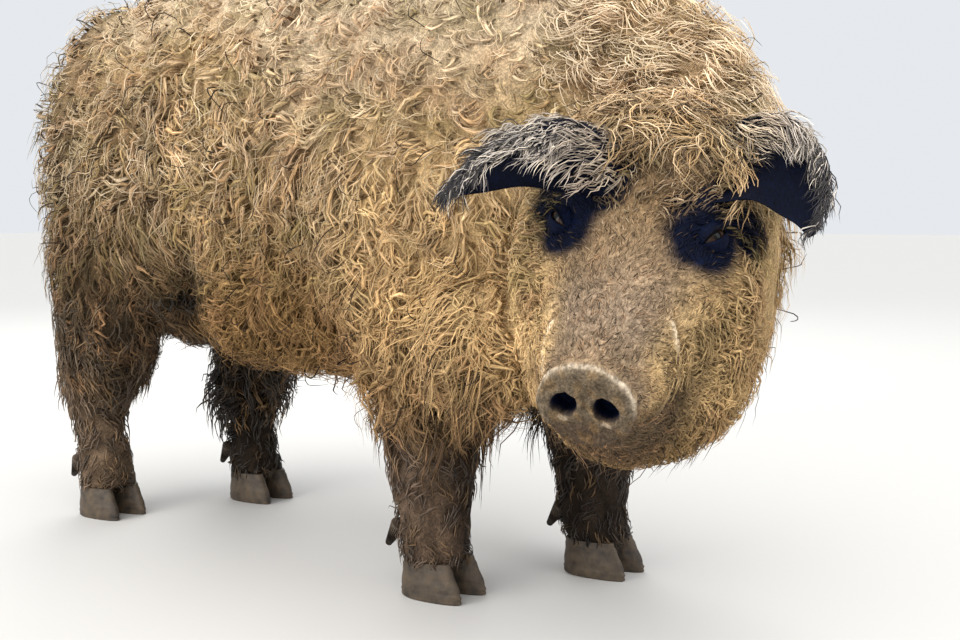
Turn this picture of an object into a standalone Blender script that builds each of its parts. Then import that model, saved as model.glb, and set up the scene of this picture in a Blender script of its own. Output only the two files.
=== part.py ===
# Mangalica pig, life size, standing with its head lowered and turned to its right.
#
# Metres. +X runs from the rump to the shoulders, +Y is the animal's left, +Z is up.
# The floor is z = 0 and the origin is the middle of the box round the finished solids.
# The body is one closed form of skin and under-coat, grown over with curls, and parted by thin cuts.

import math
import random
from collections import namedtuple

import bmesh
import bpy
from mathutils import Matrix, Vector
from mathutils.bvhtree import BVHTree

# Driving dimensions
GAP = 0.0003  # between touching pieces
POCKET = 0.0005  # round a piece that is set into another
BODY_LENGTH = 1.175  # rump to breast, of the skin
BODY_MIDDLE_X = 0.0125
BODY_HALF_WIDTH = 0.235
BACK_HEIGHT = 0.888
BELLY_HEIGHT = 0.294
CORE = 0.020  # dense under-coat that the curls grow from
SNOUT_AT = Vector((0.7323, -0.3915, 0.3392))  # middle of the snout's disc
HEAD_HEADING = math.radians(-74)  # the head is turned to the animal's right
HEAD_PITCH = math.radians(28)
HEAD_ROLL = math.radians(-7.5)
HEAD_LENGTH = 0.42  # disc to the back of the skull, inside the neck
HEAD_CUT = -0.338  # where the head is parted from the neck, behind the ears
LEG_CUT_SLOPE = 0.80  # rise of the cut over each leg, outwards
LEG_CUT_HEIGHT = 0.244  # of that cut at the body's middle
FOOT_TOP = 0.052  # height of the coronet, where the hoof begins
EYE_RADIUS = 0.0145
EYE_AT = Vector((-0.209, 0.0777, 0.076))  # in the head's frame, for the left eye
EYE_FACES = Vector((0.52, 0.50, 0.69))  # outwards, in the head's frame
NOSTRIL_AT = Vector((0.002, 0.0205, 0.002))
NOSTRIL_SIZE = Vector((0.016, 0.0095, 0.0110))
CHIN_AT = Vector((-0.082, 0, -0.048))
CHIN_SIZE = Vector((0.046, 0.040, 0.030))
EAR_THICKNESS = 0.006
HOOF_SPLIT = 0.0245  # middle of the foot to the middle of one hoof
SEED = 7

# Where each foot stands, and how far the top of its leg is set from it, along X and Y
FEET = {
    "front_right": (Vector((0.304, -0.105)), Vector((-0.020, -0.020))),
    "front_left": (Vector((0.424, 0.118)), Vector((-0.055, 0.006))),
    "hind_right": (Vector((-0.426, -0.132)), Vector((0.050, -0.012))),
    "hind_left": (Vector((-0.308, 0.104)), Vector((0.000, 0.030))),
}

# Rings of a leg: height, half length, half width, and how far the ring is set along X
FRONT_LEG = (
    (0.500, 0.100, 0.078, 0.000),
    (0.400, 0.094, 0.074, 0.002),
    (0.310, 0.082, 0.069, 0.008),
    (0.235, 0.070, 0.062, 0.010),
    (0.175, 0.062, 0.057, 0.008),
    (0.130, 0.052, 0.049, 0.006),
    (0.092, 0.050, 0.048, 0.000),
    (FOOT_TOP, 0.047, 0.047, 0.006),
)
HIND_LEG = (
    (0.560, 0.110, 0.070, 0.020),
    (0.440, 0.122, 0.080, 0.020),
    (0.345, 0.116, 0.072, 0.018),
    (0.265, 0.090, 0.060, -0.004),
    (0.220, 0.070, 0.051, -0.018),
    (0.180, 0.050, 0.043, -0.026),
    (0.130, 0.042, 0.040, -0.014),
    (0.092, 0.044, 0.042, -0.006),
    (FOOT_TOP, 0.045, 0.045, 0.004),
)

# The swelling of the shoulder and of the ham: set along X from the top of the leg, out from the
# body's middle, height of its centre, and its radii
SHOULDER = (0.000, 0.118, 0.560, Vector((0.165, 0.125, 0.225)))
HAM = (0.018, 0.110, 0.600, Vector((0.165, 0.108, 0.250)))

# Rings of the head, in its own frame: distance behind the disc, half width, rise and drop
HEAD_RINGS = (
    (0.000, 0.043, 0.040, 0.041),
    (0.005, 0.048, 0.045, 0.047),
    (0.016, 0.048, 0.046, 0.048),
    (0.028, 0.045, 0.044, 0.050),
    (0.050, 0.056, 0.052, 0.080),
    (0.080, 0.067, 0.060, 0.120),
    (0.120, 0.082, 0.069, 0.158),
    (0.160, 0.100, 0.082, 0.182),
    (0.200, 0.120, 0.103, 0.198),
    (0.245, 0.135, 0.129, 0.206),
    (0.300, 0.144, 0.150, 0.200),
    (0.355, 0.138, 0.152, 0.180),
    (HEAD_LENGTH, 0.105, 0.115, 0.120),
)

# Rings of the neck from the shoulders to the skull: half width, rise and drop
NECK_RINGS = (
    (0.205, 0.258, 0.262),
    (0.190, 0.258, 0.250),
    (0.170, 0.250, 0.232),
    (0.148, 0.224, 0.200),
    (0.125, 0.172, 0.172),
)
NECK_START = Vector((0.360, 0.000, 0.605))
NECK_BEND = Vector((0.535, -0.018, 0.600))
NECK_END = Vector((-0.33, 0, 0))  # in the head's frame

# Half of the mouth line from its corner to below the disc, in the head's frame
MOUTH_HALF = (
    Vector((-0.150, 0.083, -0.022)),
    Vector((-0.120, 0.069, -0.032)),
    Vector((-0.090, 0.057, -0.037)),
    Vector((-0.060, 0.044, -0.038)),
    Vector((-0.040, 0.022, -0.042)),
)
MOUTH_MIDDLE = Vector((-0.036, 0, -0.043))

# The two edges of each ear from its root to its tip, in the head's frame, and how far it arches between
# them. The right ear is a roof over its eye. The left one stands out sideways, its cup open forwards.
EARS = {
    "ear_right": (
        ((-0.308, -0.034, 0.128), (-0.284, -0.110, 0.190), (-0.190, -0.148, 0.186), (-0.100, -0.172, 0.152)),
        ((-0.215, -0.015, 0.080), (-0.160, -0.080, 0.128), (-0.128, -0.135, 0.142), (-0.096, -0.166, 0.148)),
        0.022,
    ),
    "ear_left": (
        ((-0.310, 0.034, 0.128), (-0.345, 0.110, 0.204), (-0.325, 0.215, 0.170), (-0.203, 0.180, 0.100)),
        ((-0.225, 0.025, 0.085), (-0.232, 0.090, 0.130), (-0.222, 0.140, 0.122), (-0.197, 0.174, 0.098)),
        -0.026,
    ),
}

# Control points and radii of the tail, from its root to its end
TAIL = ((-0.545, 0.000, 0.735), (-0.665, 0.010, 0.765), (-0.655, 0.030, 0.600), (-0.645, 0.045, 0.470))
TAIL_RADIUS = (0.024, 0.012)

# A curl: its length, half width and depth, how far it rises from its root, how deep the root is sunk,
# how far it sways to one side, as a share of its length, and how blunt its ends are
Curl = namedtuple("Curl", "length half_width depth rise sink sway blunt")
CURL_SIDES = 5
CURL_STATIONS = 3

# Each kind of hair: its curl, how far apart the curls stand, and the way they lie
BODY_HAIR = {
    "body": (Curl(0.135, 0.063, 0.036, 0.006, 0.016, 0.14, 0.5), 0.116, (-0.35, 0, -1)),
    "mane": (Curl(0.150, 0.050, 0.032, 0.008, 0.016, 0.20, 0.6), 0.105, (0.25, -0.45, -1)),
    "belly": (Curl(0.125, 0.056, 0.028, 0.006, 0.014, 0.12, 0.5), 0.110, (-0.8, 0, -0.5)),
}
HEAD_HAIR = {
    "poll": (Curl(0.130, 0.044, 0.026, 0.008, 0.016, 0.20, 0.6), 0.085, (1, 0, 0)),
    "forelock": (Curl(0.105, 0.021, 0.015, 0.010, 0.014, 0.20, 0.6), 0.040, (1, 0, 0)),
    "jowl": (Curl(0.090, 0.034, 0.018, 0.006, 0.012, 0.16, 0.6), 0.076, (-0.55, 0, -0.8)),
    "cheek": (Curl(0.085, 0.036, 0.018, 0.004, 0.012, 0.14, 0.6), 0.078, (-0.7, 0, -0.7)),
}
SKIRT_CURL = Curl(0.125, 0.026, 0.016, 0.006, 0.012, 0.12, 0.7)  # of the fringe round the top of a leg
TASSEL_CURL = Curl(0.100, 0.014, 0.010, 0.012, 0.006, 0.25, 0.7)  # at the end of the tail

# Height of a leg's fringe, its reach along X and Y, and how far it is set along X
FRONT_SKIRT = (0.300, 0.082, 0.068, 0.006)
HIND_SKIRT = (0.315, 0.092, 0.070, -0.012)
SKIRT_LOCKS = 7
TASSEL_LOCKS = 6

# Colour, roughness
FINISHES = {
    "coat": ((0.46, 0.33, 0.17, 1), 0.85),
    "face": ((0.42, 0.31, 0.19, 1), 0.80),
    "ear": ((0.07, 0.065, 0.07, 1), 0.75),
    "eye": ((0.015, 0.010, 0.008, 1), 0.15),
    "muddy_leg": ((0.20, 0.14, 0.075, 1), 0.70),
    "horn": ((0.09, 0.07, 0.05, 1), 0.55),
}

HEAD_FRAME = (
    Matrix.Translation(SNOUT_AT)
    @ Matrix.Rotation(HEAD_HEADING, 4, "Z")
    @ Matrix.Rotation(HEAD_PITCH, 4, "Y")
    @ Matrix.Rotation(HEAD_ROLL, 4, "X")
)
HEAD_TURN = HEAD_FRAME.to_3x3()
TO_HEAD = HEAD_FRAME.inverted()
X_AXIS = Vector((1, 0, 0))
Y_AXIS = Vector((0, 1, 0))
Z_AXIS = Vector((0, 0, 1))


# ---- making, joining and cutting meshes


def clear_scene():
    for obj in list(bpy.data.objects):
        bpy.data.objects.remove(obj)


def collection(name, shown):
    made = bpy.data.collections.new(name)
    bpy.context.scene.collection.children.link(made)
    made.hide_render = not shown
    return made


def make_materials():
    for name, (colour, roughness) in FINISHES.items():
        made = bpy.data.materials.new(name)
        made.use_nodes = True
        shader = made.node_tree.nodes["Principled BSDF"]
        shader.inputs["Base Color"].default_value = colour
        shader.inputs["Roughness"].default_value = roughness
        shader.inputs["Metallic"].default_value = 0


def finish(obj, material):
    obj.data.materials.clear()
    obj.data.materials.append(bpy.data.materials[material])


def object_from(bm, name, home):
    bmesh.ops.recalc_face_normals(bm, faces=bm.faces)
    mesh = bpy.data.meshes.new(name)
    bm.to_mesh(mesh)
    bm.free()
    obj = bpy.data.objects.new(name, mesh)
    home.objects.link(obj)
    return obj


def oval(centre, side, up, half_width, rise, drop, sides, fullness=(1, 1)):
    # An egg-shaped ring: it rises above its centre and drops below it by different lengths. A fullness
    # under 1, for the upper and the lower half, makes that half squarer.
    ring = []
    for k in range(sides):
        angle = math.pi * (2 * k + 1) / sides
        across = math.cos(angle)
        above = math.sin(angle)
        height = rise if above > 0 else drop
        power = fullness[0] if above > 0 else fullness[1]
        across = math.copysign(abs(across) ** power, across)
        above = math.copysign(abs(above) ** power, above)
        ring.append(centre + side * half_width * across + up * height * above)
    return ring


def arch(centre, side, up, half_width, depth, sides):
    # The section of a curl: it rises to its depth over a base that is sunk in what it grows from
    ring = []
    for k in range(sides):
        angle = math.radians(-22 + 224 * k / (sides - 1))
        ring.append(centre + side * half_width * math.cos(angle) + up * depth * math.sin(angle))
    return ring


def loft_into(bm, rings, tip=None):
    # A closed skin through unlike rings of the same count, its last ring drawn to the tip if there is one
    loops = [[bm.verts.new(point) for point in ring] for ring in rings]
    count = len(loops[0])
    for near, far in zip(loops, loops[1:]):
        for k in range(count):
            bm.faces.new((near[k], near[(k + 1) % count], far[(k + 1) % count], far[k]))
    bm.faces.new(reversed(loops[0]))
    if tip is None:
        bm.faces.new(loops[-1])
        return
    point = bm.verts.new(tip)
    for k in range(count):
        bm.faces.new((loops[-1][k], loops[-1][(k + 1) % count], point))


def loft(rings, name, home):
    bm = bmesh.new()
    loft_into(bm, rings)
    return object_from(bm, name, home)


def ellipsoid(name, centre, radii, home, segments, rings):
    bm = bmesh.new()
    bmesh.ops.create_uvsphere(bm, u_segments=segments, v_segments=rings, radius=1)
    bmesh.ops.scale(bm, verts=bm.verts, vec=radii)
    bmesh.ops.translate(bm, verts=bm.verts, vec=centre)
    return object_from(bm, name, home)


def box(name, low, high, frame, home, grown):
    bm = bmesh.new()
    bmesh.ops.create_cube(bm, size=1)
    low = Vector(low) - Vector((grown, grown, grown))
    high = Vector(high) + Vector((grown, grown, grown))
    bmesh.ops.scale(bm, verts=bm.verts, vec=high - low)
    bmesh.ops.translate(bm, verts=bm.verts, vec=(low + high) / 2)
    bmesh.ops.transform(bm, verts=bm.verts, matrix=frame)
    return object_from(bm, name, home)


def apply_modifiers(obj):
    graph = bpy.context.evaluated_depsgraph_get()
    made = bpy.data.meshes.new_from_object(obj.evaluated_get(graph))
    obj.modifiers.clear()
    obj.data = made


def combine(obj, others, operation):
    # Joins, cuts or keeps obj by every object of a collection, then removes those objects
    modifier = obj.modifiers.new(operation.lower(), "BOOLEAN")
    modifier.operation = operation
    modifier.solver = "MANIFOLD"
    modifier.operand_type = "COLLECTION"
    modifier.collection = others
    apply_modifiers(obj)
    for other in list(others.objects):
        bpy.data.objects.remove(other)


def copy_of(obj, name, home):
    made = bpy.data.objects.new(name, obj.data.copy())
    home.objects.link(made)
    return made


def keep_largest(obj):
    # Leaves only the largest closed surface of a mesh, so no loose scrap of a cut curl stays
    bm = bmesh.new()
    bm.from_mesh(obj.data)
    unseen = set(bm.faces)
    shells = []
    while unseen:
        shell = [unseen.pop()]
        for face in shell:
            for edge in face.edges:
                for other in edge.link_faces:
                    if other in unseen:
                        unseen.remove(other)
                        shell.append(other)
        shells.append(shell)
    shells.sort(key=lambda shell: sum(face.calc_area() for face in shell))
    for shell in shells[:-1]:
        bmesh.ops.delete(bm, geom=shell, context="FACES")
    bmesh.ops.triangulate(bm, faces=bm.faces)
    bm.to_mesh(obj.data)
    bm.free()


def set_into(parent, pieces, operands):
    # Cuts a pocket in the parent for each piece, a hair larger than the piece all round
    for piece in pieces:
        cutter = copy_of(piece, "pocket", operands)
        bm = bmesh.new()
        bm.from_mesh(cutter.data)
        bm.normal_update()
        moved = [(vert, vert.normal * POCKET) for vert in bm.verts]
        for vert, offset in moved:
            vert.co += offset
        bm.to_mesh(cutter.data)
        bm.free()
    combine(parent, operands, "DIFFERENCE")
    keep_largest(parent)


# ---- the body under its curls


def torso(home):
    # A long barrel with round ends, a superellipse of the fourth power along its length
    stations = 12
    sides = 18
    end_rise = 0.020  # the rump and the breast are carried higher than the belly
    rump_fall = 0.006
    breast_turn = 0.05  # the breast turns to the right
    half_length = BODY_LENGTH / 2 + CORE
    half_height = (BACK_HEIGHT - BELLY_HEIGHT) / 2 + CORE
    middle_height = (BACK_HEIGHT + BELLY_HEIGHT) / 2
    rings = []
    for k in range(stations):
        along = -math.cos(math.pi * (k + 0.6) / (stations + 0.2))
        girth = (1 - along**4) ** 0.5
        level = middle_height + end_rise * along**4 - rump_fall * max(0, -along) ** 2
        turn = -breast_turn * max(0, along) ** 3
        centre = Vector((BODY_MIDDLE_X + along * half_length, turn, level))
        width = (BODY_HALF_WIDTH + CORE) * girth
        height = half_height * girth
        rings.append(oval(centre, Y_AXIS, Z_AXIS, width, height, height, sides, (0.90, 1)))
    return loft(rings, "torso", home)


def neck_core(home):
    end = HEAD_FRAME @ NECK_END
    sides = 18
    rings = []
    for k, (width, rise, drop) in enumerate(NECK_RINGS):
        t = k / (len(NECK_RINGS) - 1)
        centre = NECK_START * (1 - t) ** 2 + NECK_BEND * 2 * t * (1 - t) + end * t**2
        heading = HEAD_HEADING * t
        side = Vector((-math.sin(heading), math.cos(heading), 0))
        rings.append(oval(centre, side, Z_AXIS, width + CORE, rise + CORE, drop + CORE, sides, (0.82, 1)))
    return loft(rings, "neck_core", home)


def head_core(home):
    # The face is bare of curls, so the under-coat only thickens behind the cheeks. The lower half is
    # rounder at the snout and squarer at the jowls.
    sides = 24
    side = HEAD_TURN @ Y_AXIS
    up = HEAD_TURN @ Z_AXIS
    rings = []
    for behind, width, rise, drop in HEAD_RINGS:
        coat = CORE * 0.5 * min(1, max(0, (behind - 0.16) / 0.1))
        centre = HEAD_FRAME @ Vector((-behind, 0, -0.006 * behind / HEAD_LENGTH))
        jowls = 1 - 0.26 * min(1, max(0, (behind - 0.05) / 0.10))
        rings.append(oval(centre, side, up, width + coat, rise + coat, drop + coat, sides, (1, jowls)))
    return loft(rings, "head_core", home)


def leg_core(name, home):
    foot, lean = FEET[name]
    profile = FRONT_LEG if name.startswith("front") else HIND_LEG
    top = profile[0][0]
    sides = 14
    rings = []
    for height, half_length, half_width, shift in profile:
        share = (height - FOOT_TOP) / (top - FOOT_TOP)
        coat = CORE * min(1, max(0, share * 1.6 - 0.5))
        centre = Vector((foot.x + shift + lean.x * share, foot.y + lean.y * share, height))
        length = half_length + coat
        rings.append(oval(centre, Y_AXIS, X_AXIS, half_width + coat, length, length, sides))
    return loft(rings, "leg_core_" + name, home)


def haunch(name, home):
    # The shoulder or the ham, swelling from the barrel over each leg
    foot, lean = FEET[name]
    shift, out, height, radii = SHOULDER if name.startswith("front") else HAM
    centre = Vector((foot.x + lean.x + shift, math.copysign(out, foot.y), height))
    return ellipsoid("haunch_" + name, centre, radii + Vector((CORE, CORE, CORE)), home, 14, 9)


def body_forms(home, operands):
    # The torso, and the forms that will be joined to it
    core = torso(home)
    neck_core(operands)
    head_core(operands)
    for name in FEET:
        leg_core(name, operands)
        haunch(name, operands)
    return core


# ---- the face


def bent_tube(points, radii, outward, home, name, sides=6):
    # A closed tube through points in the head's frame
    rings = []
    for k, (point, radius) in enumerate(zip(points, radii)):
        along = points[min(k + 1, len(points) - 1)] - points[max(k - 1, 0)]
        clear = (outward - along * outward.dot(along) / along.length_squared).normalized()
        across = along.cross(clear).normalized()
        ring = oval(point, across, clear, radius, radius, radius, sides)
        rings.append([HEAD_FRAME @ spot for spot in ring])
    return loft(rings, name, home)


def eyelids(side, home):
    # Upper and lower lid, each an arc of a ring round the eye: which way it bows, how far, and how far
    # it stands over the eye
    eye_at = Vector((EYE_AT.x, EYE_AT.y * side, EYE_AT.z))
    out = Vector((EYE_FACES.x, EYE_FACES.y * side, EYE_FACES.z)).normalized()
    across = Vector((1, -0.55 * side, 0))
    across = (across - out * across.dot(out)).normalized()
    over = out.cross(across) * side
    if over.z < 0:
        over = -over
    spread = EYE_RADIUS + 0.006
    steps = 6
    for lid, bow, reach in ((1, 0.0105, 0.0085), (-1, 0.0120, 0.0060)):
        points = []
        radii = []
        for k in range(steps + 1):
            angle = math.pi * k / steps
            along = across * spread * math.cos(angle)
            aside = over * lid * bow * math.sin(angle)
            points.append(eye_at + along + aside + out * (reach * math.sin(angle) + 0.001))
            radii.append(0.003 + 0.003 * math.sin(angle))
        bent_tube(points, radii, out, home, "lid")


def chin(home):
    made = ellipsoid("chin", CHIN_AT, CHIN_SIZE, home, 12, 8)
    made.data.transform(HEAD_FRAME)
    return made


def nostrils(home):
    for side in (-1, 1):
        at = Vector((NOSTRIL_AT.x, NOSTRIL_AT.y * side, NOSTRIL_AT.z))
        made = ellipsoid("nostril", at, NOSTRIL_SIZE, home, 10, 6)
        made.data.transform(HEAD_FRAME)


def mouth_line(home):
    # A groove from one cheek under the snout to the other, rising at the corners
    points = list(MOUTH_HALF) + [MOUTH_MIDDLE]
    points += [Vector((point.x, -point.y, point.z)) for point in reversed(MOUTH_HALF)]
    last = len(points) - 1
    radii = [0.001 + 0.0026 * math.sin(math.pi * k / last) ** 0.5 for k in range(len(points))]
    bent_tube(points, radii, Z_AXIS, home, "mouth_line")


# ---- curls and locks


def curl(root, normal, lie, size, rng, home):
    # One closed curl: it leaves the skin, bends over along the lie, and turns its tip back in
    side = normal.cross(lie).normalized()
    phase = rng.choice((-1, 1)) * rng.uniform(0.5, 1)
    path = []
    for k in range(CURL_STATIONS + 1):
        t = k / CURL_STATIONS
        height = size.rise * math.sin(math.pi * min(1, 0.15 + t * 0.95)) - size.sink * (1 - t) ** 2
        sway = size.sway * size.length * math.sin(math.pi * t * 1.25) * phase
        path.append(root + lie * size.length * (t - 0.15) + normal * height + side * sway)
    rings = []
    for k in range(CURL_STATIONS):
        along = (path[k + 1] - path[max(k - 1, 0)]).normalized()
        up = (normal - along * normal.dot(along)).normalized()
        girth = math.sin(math.pi * (0.20 + 0.60 * k / CURL_STATIONS)) ** size.blunt
        width = size.half_width * girth
        rings.append(arch(path[k], along.cross(up), up, width, size.depth * girth, CURL_SIDES))
    bm = bmesh.new()
    loft_into(bm, rings, path[-1])
    return object_from(bm, "curl", home)


def region_at(point):
    # The kind of hair that grows at a point of the body
    near = TO_HEAD @ point
    if near.x > HEAD_CUT - 0.01 and abs(near.y) < 0.24 and -0.25 < near.z < 0.30:
        return head_region(near)
    if near.x > -0.46 and near.z > 0.08 and abs(near.y) < 0.10:
        return "poll"
    if point.z < 0.37:
        from_feet = min((Vector(point.xy) - foot - lean * 0.6).length for foot, lean in FEET.values())
        return None if from_feet < 0.13 else "belly"
    if near.x > -0.62 and near.z > 0.02 and point.z > 0.62:
        return "mane"
    return "body"


def head_region(near):
    face_ends = -0.235 if near.z > -0.09 else -0.150
    if near.x > face_ends:
        return None
    for back, front, _ in EARS.values():
        for k in range(2):
            if (near - Vector(back[k])).length < 0.050 or (near - Vector(front[k])).length < 0.055:
                return None
    if (Vector((near.x, abs(near.y), near.z)) - EYE_AT).length < 0.058:
        return None
    if near.z > 0.05 and abs(near.y) < 0.055:
        return "forelock"
    return "jowl" if near.z < -0.09 else "cheek"


def surface_of(obj):
    # The triangles of a mesh, and their tree, in an order that only its shape settles
    triangles = []
    for face in obj.data.polygons:
        ring = [obj.data.vertices[index].co.copy() for index in face.vertices]
        first = min(range(len(ring)), key=lambda k: tuple(ring[k]))
        ring = ring[first:] + ring[:first]
        triangles += [(ring[0], ring[k], ring[k + 1]) for k in range(1, len(ring) - 1)]
    triangles.sort(key=lambda corners: [tuple(corner) for corner in corners])
    corners = [corner for triangle in triangles for corner in triangle]
    indices = [(k, k + 1, k + 2) for k in range(0, len(corners), 3)]
    return triangles, BVHTree.FromPolygons(corners, indices)


def is_inside(point, tree):
    # The first face that a ray from the point meets is met from behind
    ray = Vector((0.31, 0.17, 0.93))
    normal = tree.ray_cast(point, ray)[1]
    return normal is not None and normal.dot(ray) > 0


def smooth_normal(point, trees):
    # The average normal of the faces close to a point, so that a seam between two forms turns no curl
    total = Vector()
    for tree in trees:
        for near in tree.find_nearest_range(point, 0.03):
            total += near[1]
    return total.normalized()


def scattered_points(forms, rng):
    # Points spread evenly over the outside of a group of forms that cross one another, as far apart as
    # the hair of each region asks, with their regions and normals
    hair = {**BODY_HAIR, **HEAD_HAIR}
    surfaces = [surface_of(form) for form in forms]
    trees = [tree for _, tree in surfaces]
    faces = [(own, triangle) for own, (triangles, _) in enumerate(surfaces) for triangle in triangles]
    areas = [(b - a).cross(c - a).length for _, (a, b, c) in faces]
    tries = 24000
    kept = []
    for own, (first, second, third) in rng.choices(faces, weights=areas, k=tries):
        out = rng.random() ** 0.5
        over = rng.random()
        point = first * (1 - out) + second * out * (1 - over) + third * out * over
        region = region_at(point)
        if region is None or any(is_inside(point, tree) for k, tree in enumerate(trees) if k != own):
            continue
        spacing = hair[region][1]
        if all((point - other[0]).length > (spacing + other[2]) / 2 for other in kept):
            kept.append((point, region, spacing))
    return [(point, region, smooth_normal(point, trees)) for point, region, _ in kept]


def lie_at(region, normal, rng):
    if region in HEAD_HAIR:
        way = HEAD_TURN @ Vector(HEAD_HAIR[region][2])
        spread = 0.3
    else:
        way = Vector(BODY_HAIR[region][2])
        spread = 0.55
    way = way.normalized()
    flat = way - normal * way.dot(normal)
    if flat.length < 0.3:
        flat = -X_AXIS + normal * normal.x
    return Matrix.Rotation(rng.uniform(-spread, spread), 3, normal) @ flat.normalized()


def leg_skirt(name, operands, rng):
    # A ring of flat locks that hang over the narrow part of the leg
    foot, lean = FEET[name]
    height, reach_x, reach_y, shift = FRONT_SKIRT if name.startswith("front") else HIND_SKIRT
    share = (height - FOOT_TOP) / (FRONT_LEG[0][0] - FOOT_TOP)
    middle = foot + lean * share
    for k in range(SKIRT_LOCKS):
        angle = 2 * math.pi * (k + rng.uniform(-0.15, 0.15)) / SKIRT_LOCKS
        out = Vector((math.cos(angle), math.sin(angle), 0))
        x = middle.x + shift + reach_x * out.x
        y = middle.y + reach_y * out.y
        root = Vector((x, y, height + rng.uniform(-0.01, 0.01)))
        curl(root, out, -Z_AXIS, SKIRT_CURL, rng, operands)


def grow_coat(core, operands, rng):
    # Sets the curls on the body's forms and joins the forms and the curls
    for point, region, normal in scattered_points([core, *operands.objects], rng):
        size = HEAD_HAIR[region][0] if region in HEAD_HAIR else BODY_HAIR[region][0]
        varied = rng.uniform(0.85, 1.15)
        size = Curl(*[part * varied for part in size[:5]], size.sway, size.blunt)
        curl(point, normal, lie_at(region, normal, rng), size, rng, operands)
    for name in FEET:
        leg_skirt(name, operands, rng)
    combine(core, operands, "UNION")


# ---- ears, eyes, tail and feet


def bezier(points, t):
    a, b, c, d = [Vector(point) for point in points]
    return a * (1 - t) ** 3 + b * 3 * t * (1 - t) ** 2 + c * 3 * t**2 * (1 - t) + d * t**3


def bezier_along(points, t):
    return (bezier(points, min(1, t + 0.05)) - bezier(points, max(0, t - 0.05))).normalized()


def ear(name, home):
    # A leaf between two curved edges, arched into a cup, as a sheet that Solidify makes a shell
    back, front, bow = EARS[name]
    stations = 7
    across = 4
    bm = bmesh.new()
    rows = []
    for i in range(stations + 1):
        t = i / stations
        far = bezier(back, t)
        near = bezier(front, t)
        out = (far - near).cross(bezier_along(back, t)).normalized()
        if out.z < 0:
            out = -out
        swell = bow * math.sin(math.pi * (0.22 + 0.70 * t)) * min(1, (far - near).length / 0.08)
        row = []
        for j in range(across + 1):
            s = j / across
            row.append(bm.verts.new(near.lerp(far, s) + out * swell * 4 * s * (1 - s)))
        rows.append(row)
    for near_row, far_row in zip(rows, rows[1:]):
        for j in range(across):
            bm.faces.new((near_row[j], near_row[j + 1], far_row[j + 1], far_row[j]))
    bmesh.ops.triangulate(bm, faces=bm.faces)
    bmesh.ops.transform(bm, verts=bm.verts, matrix=HEAD_FRAME)
    made = object_from(bm, name, home)
    shell = made.modifiers.new("thickness", "SOLIDIFY")
    shell.thickness = EAR_THICKNESS
    shell.offset = 0
    apply_modifiers(made)
    finish(made, "ear")
    return made


def eye(name, side, home):
    at = Vector((EYE_AT.x, EYE_AT.y * side, EYE_AT.z))
    made = ellipsoid(name, at, Vector((EYE_RADIUS, EYE_RADIUS, EYE_RADIUS)), home, 10, 8)
    made.data.transform(HEAD_FRAME)
    finish(made, "eye")
    return made


def tail(home, operands, rng):
    # A thin tail that hangs from the rump and ends in a tassel of locks
    stations = 8
    rings = []
    for k in range(stations):
        t = k / (stations - 1)
        up = bezier_along(TAIL, t).cross(Y_AXIS).normalized()
        radius = TAIL_RADIUS[0] * (1 - t) + TAIL_RADIUS[1] * t
        rings.append(oval(bezier(TAIL, t), Y_AXIS, up, radius, radius, radius, 10))
    made = loft(rings, "tail", home)
    for k in range(TASSEL_LOCKS):
        angle = 2 * math.pi * k / TASSEL_LOCKS
        out = Vector((math.cos(angle), math.sin(angle), 0))
        start = bezier(TAIL, 0.78 + 0.10 * (k % 2)) + out * 0.010
        size = TASSEL_CURL._replace(length=TASSEL_CURL.length * rng.uniform(0.85, 1.15))
        curl(start, out, -Z_AXIS, size, rng, operands)
    combine(made, operands, "UNION")
    keep_largest(made)
    finish(made, "coat")
    return made


def hoof(name, foot, side, home):
    # One of the two hooves of a foot: a flat sole, a wall that slopes in, and a toe that narrows forwards
    sides = 14
    toe_in = 0.30
    splay = 0.04
    rings = []
    for height, front, back, half_width in (
        (0.0, 0.064, 0.038, 0.0235),
        (0.010, 0.063, 0.038, 0.0235),
        (FOOT_TOP - GAP, 0.044, 0.036, 0.0205),
    ):
        ring = []
        for k in range(sides):
            angle = 2 * math.pi * (k + 0.5) / sides
            forwards = max(0, math.cos(angle))
            x = (front if forwards else back) * math.cos(angle)
            y = half_width * math.sin(angle) * (1 - toe_in * forwards)
            middle = foot.y + side * (HOOF_SPLIT + splay * max(0, x))
            ring.append(Vector((foot.x + 0.004 + x, middle + y, height)))
        rings.append(ring)
    made = loft(rings, name, home)
    finish(made, "horn")
    return made


def dewclaw(name, foot, side, home):
    # A small pointed claw behind the foot, above the hooves, that points down and back
    tilt = math.radians(180 + 38)
    bm = bmesh.new()
    bmesh.ops.create_cone(bm, cap_ends=True, segments=8, radius1=0.0125, radius2=0.005, depth=0.044)
    turn = Matrix.Rotation(tilt, 4, "Y") @ Matrix.Rotation(0.12 * side, 4, "X")
    place = Matrix.Translation(Vector((foot.x - 0.052, foot.y + side * 0.026, 0.078)))
    bmesh.ops.transform(bm, verts=bm.verts, matrix=place @ turn)
    made = object_from(bm, name, home)
    finish(made, "horn")
    return made


# ---- parting the body


def leg_box(name, operands, grown):
    # From the floor to a plane that slopes up outwards, so that the cut follows the elbow or the stifle
    foot, lean = FEET[name]
    side = math.copysign(1, foot.y)
    reach, shift = (0.125, 0.0) if name.startswith("front") else (0.165, -0.012)
    middle = foot.x + lean.x * 0.7 + shift
    inner = 0.003 - grown
    outer = 0.360 + grown
    inner_top = LEG_CUT_HEIGHT + grown * 1.3
    outer_top = inner_top + (outer - inner) * LEG_CUT_SLOPE
    floor = -0.020 - grown
    outline = ((inner, floor), (outer, floor), (outer, outer_top), (inner, inner_top))
    rings = []
    for x in (middle - reach - grown, middle + reach + grown):
        rings.append([Vector((x, side * y, z)) for y, z in outline])
    return loft(rings, "leg_box", operands)


def head_box(operands, grown):
    return box("head_box", (HEAD_CUT, -0.220, -0.27), (0.10, 0.26, 0.34), HEAD_FRAME, operands, grown)


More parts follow.
